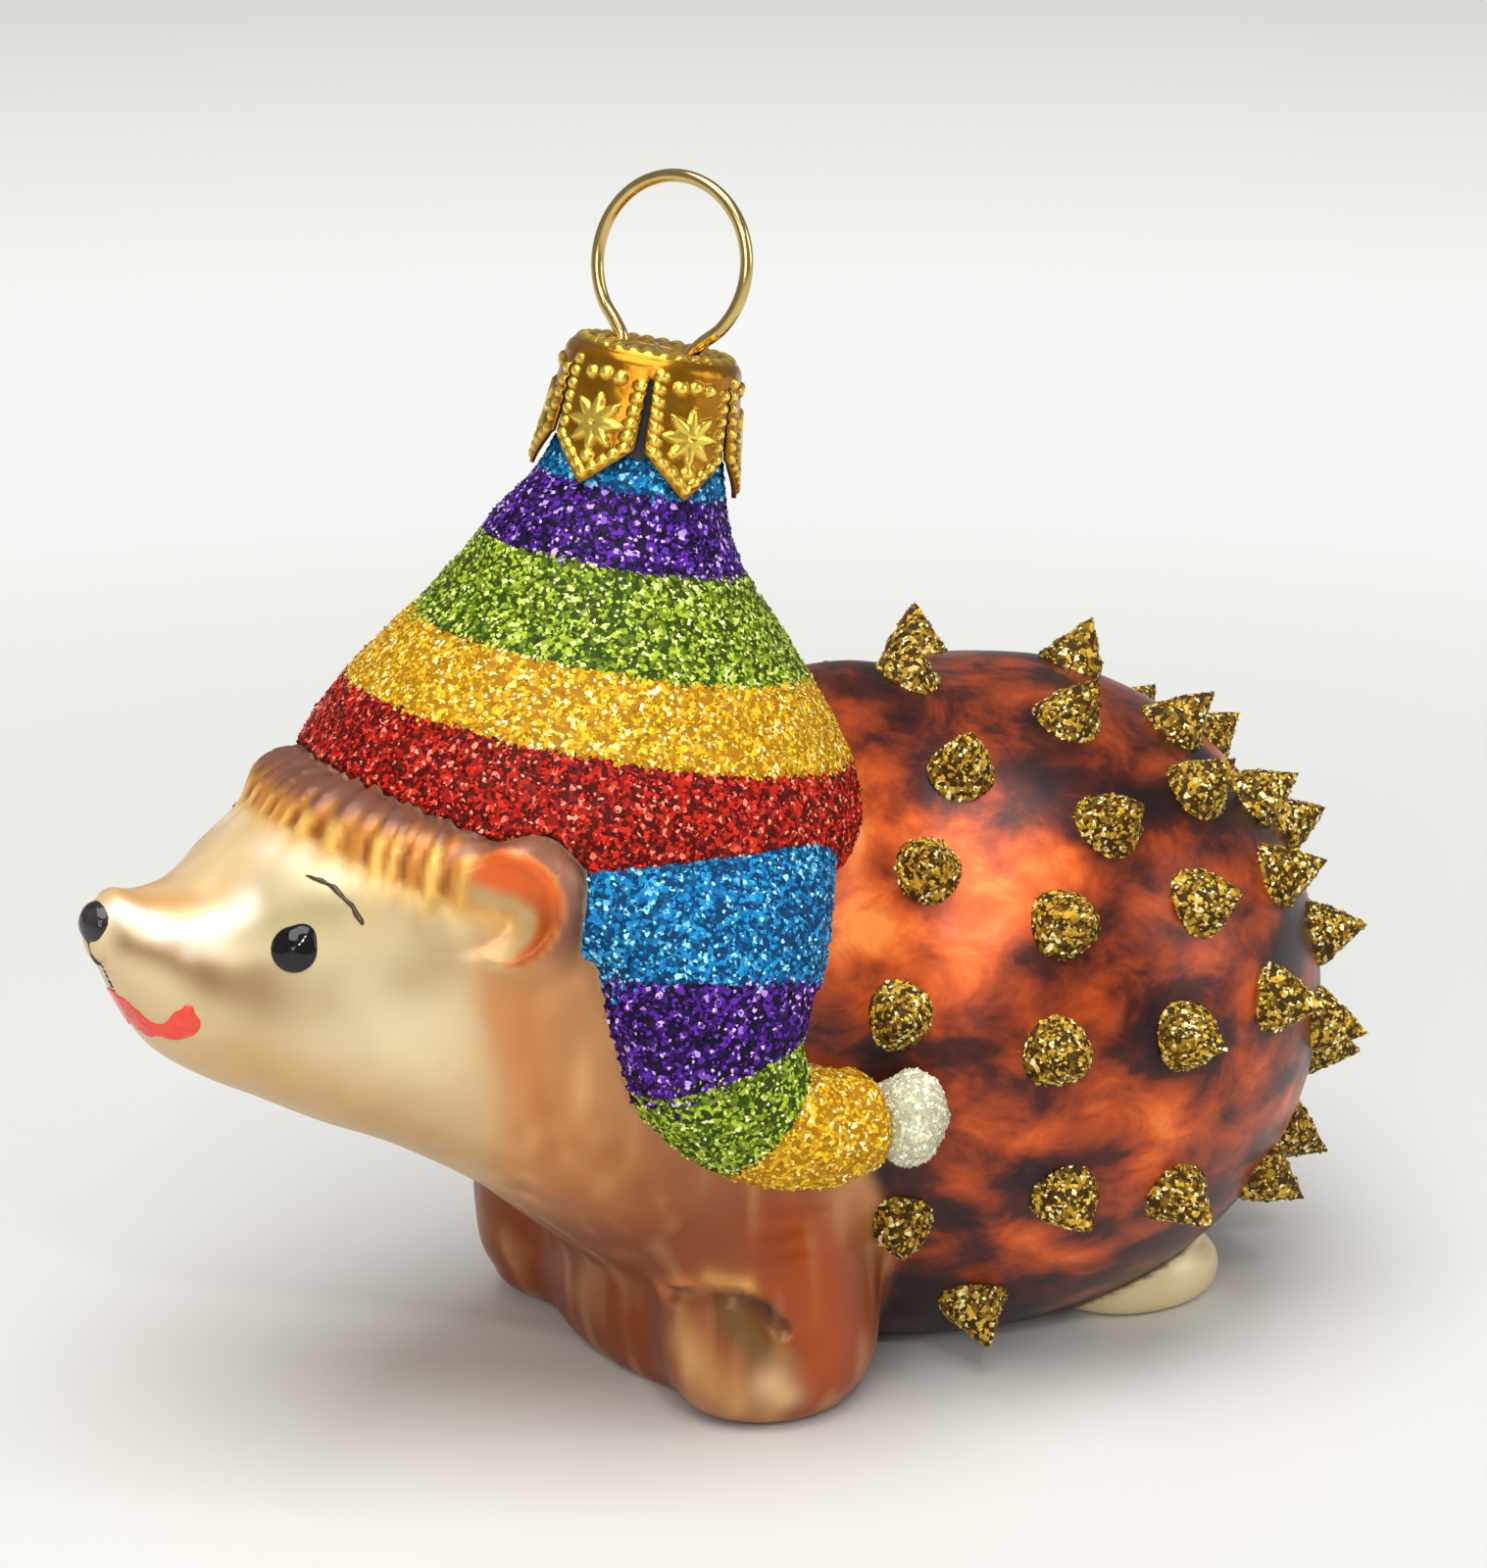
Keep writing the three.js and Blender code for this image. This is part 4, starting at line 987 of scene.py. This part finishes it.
class ORNAMENT_OT_face(bpy.types.Operator):
    """Paint the eyes, the nose, the mouth and the brows in enamel"""

    bl_idname = "ornament.face"
    bl_label = "Enamel Face"

    def execute(self, context):
        black = enamel("black_enamel", "#0A0A0C", "#131316")
        for node, side in (("eye_left", -1), ("eye_right", 1)):
            centre, n = (row[0] for row in settle((sum(node_box(node)) / 2)[None]))

            def drop(p):
                flat = p - centre - ((p - centre) @ n)[:, None] * n
                lobe = length(flat - (0.35, side * 0.5, 1.0)) - EYE_LOBE
                edge = join(length(flat) - EYE_RADIUS, lobe, 0.3)
                whole = figure(p)
                rise = 0.95 * np.sqrt(np.clip(-edge / 1.8, 0, 1))
                return np.maximum(np.maximum(0.7 * (whole - rise), edge * 0.8), -whole - ENAMEL_SUNK)

            enamelled(node + "_enamel", drop, centre - 3.4, centre + 3.4, DROP_GRID, black, [node])

        def nose(p):
            whole = figure(p)
            region = np.minimum(oval(p, NOSE), oval(p, NOSTRIL))
            region = join(region, to_line(p, NOSE_LINE) - 0.34, 0.5)
            region = np.minimum(region, oval(p, NOSTRIL, -1))
            rise = 0.4 * np.sqrt(np.clip(-region / 1.2, 0, 1))
            return np.maximum(np.maximum(whole - rise, region), -whole - ENAMEL_SUNK)

        low, high = node_box("nose_paint")
        low, high = low - (1.5, 1.5, 4.0), high + 1.5
        finish = enamel("nose_enamel", "#151316", "#3A3238")
        enamelled("nose_enamel", nose, low, high, DROP_GRID, finish, ["nose_paint"])

        strokes = [
            ("mouth", MOUTH, 0.0, enamel("coral_enamel", "#F0503E", "#E23A2A")),
            ("brow", BROW, 2.2, enamel("brown_enamel", "#5E4A30", "#3A2A1A")),
        ]
        sides = (("left", 1), ("right", -1))
        for (name, path, back, finish), (word, mirror) in itertools.product(strokes, sides):
            # The far brow lies further back
            line = [(x + (back if mirror < 0 else 0), y * mirror, z) for x, y, z, _ in path]
            line = settle(np.array(line))[0]
            widths = [row[3] for row in path]

            def stroke(p):
                away = to_line(p, line, widths) + 0.12 * noise3(p, 0.7, 14)
                return np.maximum(away, np.abs(figure(p)) - 0.2)

            low, high = line.min(0) - 1.4, line.max(0) + 1.4
            enamelled(f"{name}_{word}", stroke, low, high, STROKE_GRID, finish)
        return {"FINISHED"}


# Cap, in heights along the neck: its top and foot, the sheet it is made of, the bend at its edge
CAP_TOP = 32.65
CAP_FOOT = 22.35
SHEET = 0.35
SHOULDER = 1.3
CAP_TURN = math.radians(-1)
# Pointed tabs: how many, how far the slits between them and the points reach up from the foot,
# half a slit's width, and the radius at which the slits are drawn
TABS = 6
SLIT_TOP = 8.6
TAB_POINT = 3.2
HALF_SLIT = 0.14
TAB_RADIUS = 6.6
# Inner radius of the skirt at its foot, at the top of the coats and at the neck's rim
COAT_TOP = 24.5
RIM_HEIGHT = 32.3
SKIRT_FOOT, SKIRT_COAT, SKIRT_TOP = 7.6, 7.3, 6.3
# Points across a tab, and rows over the cap's top and down its tabs
COLUMNS, ROWS, DROPS = 40, 52, 62
# Radius and height of the beads round a tab
BEAD, BEAD_HIGH = 0.46, 0.34
# Rings of beads on the cap's top: how far past the flat, number, radius and height
BEADS = [(0.15, 30, 0.52, 0.3), (-1.05, 26, 0.42, 0.24), (-2.1, 18, 0.45, 0.22)]
# Hanger: half the wire's thickness and points round it, the ring's radius, how far it sinks and
# half the turn it leaves open, and the sprung legs
WIRE = 0.5
WIRE_SIDES = 16
RING = 6.6
RING_SINK = 0.2
RING_OPENING = 0.62
LEG_SPREAD = 3.1
LEG_BOW = 4.0
LEG_LENGTH = 16.0
LEG_STRAIGHT = 5.0
HANGER_TURN = math.radians(-63)
# Radius of the cap's two holes for the wire
HOLE = 0.85


def bump_at(distance, radius, height):
    """Height of a round boss at a distance from its middle."""
    return height * np.sqrt(np.clip(1 - (distance / radius) ** 2, 0, 1))


def tab_relief(x, y, half):
    """Embossing of one tab: beads round its edge and an eight-leaved star."""
    edge, side = half - 0.55, SLIT_TOP - TAB_POINT
    outline = [(-edge, -0.3), (-edge, side), (0, SLIT_TOP - 0.85), (edge, side), (edge, -0.3)]
    relief = np.zeros_like(x)
    for (x0, y0), (x1, y1) in zip(outline[:-1], outline[1:]):
        steps = max(1, round(math.hypot(x1 - x0, y1 - y0) / (2 * BEAD)))
        for t in np.arange(steps) / steps:
            away = np.hypot(x - (x0 + (x1 - x0) * t), y - (y0 + (y1 - y0) * t))
            relief = np.maximum(relief, bump_at(away, BEAD, BEAD_HIGH))
    middle = 0.46 * SLIT_TOP
    r = np.hypot(x, y - middle)
    leaves = math.pi / 4
    turn = np.abs((np.arctan2(y - middle, x) / leaves + 0.5) % 1 - 0.5) * leaves
    reach = 2.3
    wide = 0.44 * np.sin(np.pi * np.clip(r / reach, 0.02, 1)) + 0.02
    leaf = np.clip(1 - (np.abs(np.sin(turn)) * r / wide) ** 2, 0, 1)
    relief = np.maximum(relief, np.where((r < reach) & (r > 0.12), 0.3 * np.sqrt(leaf), 0))
    for x0, y0 in ((-1.15, 0.35), (0, 0.2), (1.15, 0.35), (0, SLIT_TOP - 2.1)):
        relief = np.maximum(relief, bump_at(np.hypot(x - x0, y - y0), 0.5, BEAD_HIGH))
    return relief


def skirt(h):
    """Outer radius of the cap's skirt at a height."""
    low = SKIRT_FOOT + (SKIRT_COAT - SKIRT_FOOT) * np.clip((h - CAP_FOOT) / (COAT_TOP - CAP_FOOT), 0, 1)
    high = SKIRT_COAT + (SKIRT_TOP - SKIRT_COAT) * (h - COAT_TOP) / (RIM_HEIGHT - COAT_TOP)
    return SHEET + np.where(h < COAT_TOP, low, high)


class ORNAMENT_OT_cap(bpy.types.Operator):
    """Stamp the embossed cap with its six pointed tabs"""

    bl_idname = "ornament.cap"
    bl_label = "Cap"

    def execute(self, context):
        # Height of the bend's foot, radius of the edge, and way from the middle down to the slits
        shoulder = CAP_TOP - SHOULDER
        rim = SKIRT_TOP + 0.12 + SHEET
        slit = CAP_FOOT + SLIT_TOP
        flat = rim - SHOULDER
        bend = SHOULDER * math.pi / 2
        total = flat + bend + shoulder - slit
        half_tab = math.pi / TABS
        u = np.linspace(-1, 1, COLUMNS)
        centre = CAP_TURN + (np.arange(TABS) + 0.5) * 2 * np.pi / TABS
        grid = []
        # From the middle over the flat, the bend and the skirt down to the slits
        for i in range(ROWS):
            s = 0.25 + (total - 0.25) * i / (ROWS - 1)
            if s < flat:
                radius, height = s, CAP_TOP
            elif s < flat + bend:
                turn = (s - flat) / SHOULDER
                radius, height = flat + SHOULDER * math.sin(turn), shoulder + SHOULDER * math.cos(turn)
            else:
                height = shoulder - (s - flat - bend)
                radius = float(skirt(np.array(height)))
            share = 1 - min(1.0, s / flat)
            half_slit = HALF_SLIT / TAB_RADIUS + (half_tab / COLUMNS - HALF_SLIT / TAB_RADIUS) * share
            angle = centre[:, None] + u * (half_tab - half_slit)
            relief = bump_at(np.abs(s - flat - 0.2) + 0 * angle, 0.55, 0.12)
            for past, number, wide, high in BEADS:
                off = (angle * number / (2 * math.pi)) % 1 - 0.5
                away = np.hypot(off * 2 * math.pi / number * min(flat + past, rim), s - flat - past)
                relief = np.maximum(relief, bump_at(away, wide, high))
            relief = np.maximum(relief, (s < flat - 2.5) * 0.15 * (0.5 + 0.5 * np.cos(angle * 18)))
            if s - flat - bend > -1.6:
                x = np.tile(u * (half_tab * TAB_RADIUS - 0.3), (TABS, 1))
                relief = np.maximum(relief, tab_relief(x, np.full_like(x, s - total), 3.15))
            grid.append((np.full_like(angle, radius), np.full_like(angle, height), angle, relief))
        # Down the pointed tabs
        for t in np.arange(1, DROPS + 1) / DROPS:
            height = np.tile(slit - (SLIT_TOP - TAB_POINT * np.abs(u)) * t, (TABS, 1))
            radius = skirt(height)
            spread = np.clip((slit - height) / (SLIT_TOP - TAB_POINT), 0, 1)
            angle = centre[:, None] + u * (half_tab - (HALF_SLIT + 0.26 * spread) / radius)
            relief = tab_relief(u * (half_tab * radius - 0.45), slit - height, 3.3)
            grid.append((radius, height, angle, relief * step_up(0.0, 0.03, 1 - t)))
        radius, height, angle, relief = (np.stack([row[k] for row in grid]) for k in range(4))
        slope_r, slope_h = np.gradient(radius, axis=0), np.gradient(height, axis=0)
        size = np.hypot(slope_r, slope_h)
        place = np.stack([radius * np.cos(angle), radius * np.sin(angle), height], -1)
        relief = relief + 0.03 * noise3(place.reshape(-1, 3), 0.8, 12).reshape(relief.shape)
        out, up = radius - slope_h / size * relief, height + slope_r / size * relief
        points = from_neck(out * np.cos(angle), out * np.sin(angle), up).reshape(-1, 3)
        # No metal in the wire's two holes, nor between the tabs
        around = TABS * COLUMNS
        row = np.arange(len(grid))[:, None]
        leg = LEG_SPREAD * np.array((math.cos(HANGER_TURN), math.sin(HANGER_TURN)))
        away = [length(place[..., :2] + side * leg) for side in (-1, 1)]
        bare = (np.minimum(*away) < HOLE).reshape(len(grid), around) & (row < ROWS)
        bare |= (row >= ROWS - 1) & ((np.arange(around) + 1) % COLUMNS == 0)
        quads = tube(len(grid), around)[~bare[:-1].ravel()][:, [0, 3, 2, 1]]
        middle = [(len(points), k, (k + 1) % around) for k in range(around)]
        points = np.concatenate([points, from_neck(0.0, 0.0, CAP_TOP)[None]])
        finish = gilt_sheet(context.scene.ornament.gilt)
        made = mesh_object("cap_gilt", points, quads.tolist() + middle, [finish], ["cap"], "cap")
        store(made.data, "relief", np.append(relief, 0.0))
        sheet = made.modifiers.new("sheet", "SOLIDIFY")
        sheet.thickness = SHEET * MM
        sheet.offset = -1
        return {"FINISHED"}


def gilt_sheet(colour):
    """Brass sheet, stamped and gilt, coloured by its relief: a painted highlight on the bosses, and painted
    shade, warm and dull, between them.
    """
    made, tree, shader = material("stamped_gilt_sheet", {"Metallic": 0.85, "Roughness": 0.24})
    height = add(tree, "ShaderNodeAttribute", {"attribute_name": "relief"}).outputs["Fac"]
    # Painted highlight on the raised bosses and painted shade in the hollows between them
    share = add(tree, "ShaderNodeMath", {"operation": "MULTIPLY", 1: 3.0}, {0: height}).outputs[0]
    link(tree, shader, {"Base Color": ramp(tree, share, [(0.0, "#A87014"), (1.0, colour)])})
    # Tool marks of the stamp, about 0.4 mm apart
    marked(tree, shader, 0.4, 2.0, 0.3, 0.05)
    return made


class ORNAMENT_OT_hanger(bpy.types.Operator):
    """Bend the sprung wire into its ring and legs"""

    bl_idname = "ornament.hanger"
    bl_label = "Hanger"

    def execute(self, context):
        top = CAP_TOP
        middle = top - RING_SINK + RING
        leg = [
            (LEG_BOW - WIRE, top - LEG_LENGTH), (LEG_BOW, top - 0.65 * LEG_LENGTH),
            (LEG_SPREAD, top - LEG_STRAIGHT), (LEG_SPREAD, top - LEG_STRAIGHT / 2), (LEG_SPREAD, top),
        ]
        turns = [RING_OPENING + (2 * math.pi - 2 * RING_OPENING) * i / 16 for i in range(17)]
        arc = [(-RING * math.sin(a), middle - RING * math.cos(a)) for a in turns]
        path = np.array([(-a, h) for a, h in leg] + arc + leg[::-1])
        # A smooth line through those points, eight steps to each span
        last = len(path) - 1
        knots = np.concatenate([[0], np.cumsum(length(np.diff(path, axis=0)) ** 0.5)])
        at = np.interp(np.linspace(0, last, 8 * last + 1), np.arange(last + 1), knots)
        tangent = np.gradient(path, knots, axis=0)
        i = np.clip(np.searchsorted(knots, at, side="right") - 1, 0, last - 1)
        span = (knots[i + 1] - knots[i])[:, None]
        t = (at - knots[i])[:, None] / span
        line = (2 * t**3 - 3 * t**2 + 1) * path[i] + (t**3 - 2 * t**2 + t) * span * tangent[i]
        line += (-2 * t**3 + 3 * t**2) * path[i + 1] + (t**3 - t**2) * span * tangent[i + 1]
        ahead = unit(np.gradient(line, axis=0))
        turn = np.arange(WIRE_SIDES) * 2 * np.pi / WIRE_SIDES
        across = line[:, None, 0] + WIRE * np.cos(turn) * -ahead[:, None, 1]
        height = line[:, None, 1] + WIRE * np.cos(turn) * ahead[:, None, 0]
        beside = np.broadcast_to(WIRE * np.sin(turn), across.shape)
        c, s = math.cos(HANGER_TURN), math.sin(HANGER_TURN)
        points = from_neck(across * c - beside * s, across * s + beside * c, height).reshape(-1, 3)
        ends = [range(WIRE_SIDES - 1, -1, -1), range(len(points) - WIRE_SIDES, len(points))]
        faces = tube(len(line), WIRE_SIDES).tolist() + [tuple(end) for end in ends]
        finish = gilt_wire(context.scene.ornament.wire)
        mesh_object("hanger_gilt_wire", points, faces, [finish], ["hanger_wire"], "hanger")
        return {"FINISHED"}


def gilt_wire(colour):
    """Drawn spring wire, gilt and polished: long clean highlights with faint drawing lines."""
    made, tree, shader = material("gilt_spring_wire", {"Metallic": 1.0, "Roughness": 0.16})
    # Worn places about 2 mm long
    wear = marked(tree, shader, 2.0, 3.0, 0.06, 0.03)
    link(tree, shader, {"Base Color": ramp(tree, wear, [(0.0, "#B89A58"), (1.0, colour)])})
    return made


# ---- stage


# Camera's place and target in millimetres of the drawing, and its lens: focal length and
# long side of the picture in pixels, and width of the sensor in millimetres
CAMERA_AT = (-173.72, -304.20, 154.18)
CAMERA_TARGET = (13.43, 7.29, 43.07)
FOCAL, LONG_SIDE, SENSOR = 4826, 1600, 36
# White area lamps: name, place and size in metres, and power in watts
LAMPS = [
    ("top", (-0.15, -0.15, 0.9), 0.75, 8.2),
    ("front", (-0.75, -0.75, 0.5), 0.6, 4.0),
    ("right", (0.7, -0.55, 0.35), 0.5, 1.8),
    ("spark", (-0.3, -0.8, 0.75), 0.05, 1.2),
]
# Where the lamps point, and half the table's side, in metres
LAMP_TARGET = Vector((0, 0, 0.04))
TABLE_HALF = 40.0


def turned(place, target):
    """Rotation of a camera or lamp that looks from its place at a target."""
    return (target - place).to_track_quat("-Z", "Y").to_euler()


class ORNAMENT_OT_stage(bpy.types.Operator):
    """Set the camera, the lamps and the pale table top"""

    bl_idname = "ornament.stage"
    bl_label = "Stage"

    def execute(self, context):
        scene = context.scene
        camera = bpy.data.objects.new("camera", bpy.data.cameras.new("camera"))
        scene.collection.objects.link(camera)
        camera.location = Vector(SHIFT + CAMERA_AT) * MM
        camera.rotation_euler = turned(camera.location, Vector(SHIFT + CAMERA_TARGET) * MM)
        camera.data.sensor_width = SENSOR
        camera.data.lens = FOCAL / LONG_SIDE * SENSOR
        camera.data.clip_start = 0.01
        scene.camera = camera
        scene.view_settings.view_transform = "Standard"
        for name, place, size, power in LAMPS:
            lamp = bpy.data.lights.new(name, "AREA")
            lamp.size = size
            lamp.energy = power
            made = bpy.data.objects.new(name, lamp)
            made.location = place
            made.rotation_euler = turned(made.location, LAMP_TARGET)
            scene.collection.objects.link(made)
        scene.world = bpy.data.worlds.new("room")
        tree = empty_tree(scene.world)
        room = add(tree, "ShaderNodeBackground", {"Color": (*linear("#F2F1EE"), 1), "Strength": 0.32})
        add(tree, "ShaderNodeOutputWorld", None, {"Surface": room.outputs[0]})
        corners = [(x * TABLE_HALF, y * TABLE_HALF, 0) for x, y in ((-1, -1), (1, -1), (1, 1), (-1, 1))]
        mesh = bpy.data.meshes.new("table_top")
        mesh.from_pydata(corners, [], [(0, 1, 2, 3)])
        floor = bpy.data.objects.new("table_top", mesh)
        scene.collection.objects.link(floor)
        floor.data.materials.append(table_paint(scene.ornament.floor))
        return {"FINISHED"}


def table_paint(colour):
    """White painted board, sprayed matt, that runs into a bright sweep behind the ornament."""
    made = bpy.data.materials.new("matt_white_board")
    tree = empty_tree(made)
    where = add(tree, "ShaderNodeTexCoord").outputs["Object"]
    near = add(tree, "ShaderNodeBsdfPrincipled", {"Base Color": (*colour, 1), "Roughness": 0.6})
    away = add(tree, "ShaderNodeVectorMath", {"operation": "LENGTH"}, {0: where}).outputs["Value"]
    share = add(tree, "ShaderNodeMapRange", {"From Min": 0.12, "From Max": 0.3}, {"Value": away}).outputs[0]
    far = add(tree, "ShaderNodeEmission", {"Strength": 1.0})
    tone = add(tree, "ShaderNodeMapRange", {"From Min": 0.4, "From Max": 0.8}, {"Value": away}).outputs[0]
    link(tree, far, {"Color": ramp(tree, tone, [(0.0, "#F8F8F6"), (1.0, "#DADAD5")])})
    rays = add(tree, "ShaderNodeLightPath").outputs
    seen = rays["Is Camera Ray"]
    for kind in ("Is Glossy Ray", "Is Transmission Ray"):
        seen = add(tree, "ShaderNodeMath", {"operation": "MAXIMUM"}, {0: seen, 1: rays[kind]}).outputs[0]
    share = add(tree, "ShaderNodeMath", {"operation": "MULTIPLY"}, {0: seen, 1: share}).outputs[0]
    mix = add(tree, "ShaderNodeMixShader", None, {0: share, 1: near.outputs[0], 2: far.outputs[0]})
    add(tree, "ShaderNodeOutputMaterial", None, {"Surface": mix.outputs[0]})
    return made


class ORNAMENT_PT_panel(bpy.types.Panel):
    """Sizes, colours and pieces of the ornament"""

    bl_idname = "ORNAMENT_PT_panel"
    bl_label = "Hedgehog Ornament"
    bl_space_type = "VIEW_3D"
    bl_region_type = "UI"
    bl_category = "Ornament"

    def draw(self, context):
        layout = self.layout
        for key in OrnamentSettings.__annotations__:
            layout.prop(context.scene.ornament, key)
        for operator in OPERATORS:
            layout.operator(operator.bl_idname)


OPERATORS = [
    ORNAMENT_OT_stage, ORNAMENT_OT_glass, ORNAMENT_OT_bands, ORNAMENT_OT_bobble, ORNAMENT_OT_thorns,
    ORNAMENT_OT_face, ORNAMENT_OT_cap, ORNAMENT_OT_hanger,
]
CLASSES = [OrnamentSettings, *OPERATORS, ORNAMENT_PT_panel]


def register():
    for each in CLASSES:
        bpy.utils.register_class(each)
    bpy.types.Scene.ornament = PointerProperty(type=OrnamentSettings)


def unregister():
    del bpy.types.Scene.ornament
    for each in reversed(CLASSES):
        bpy.utils.unregister_class(each)


def main():
    """Builds every piece in order."""
    register()
    for operator in OPERATORS:
        family, name = operator.bl_idname.split(".")
        getattr(getattr(bpy.ops, family), name)()


if __name__ == "__main__":
    main()
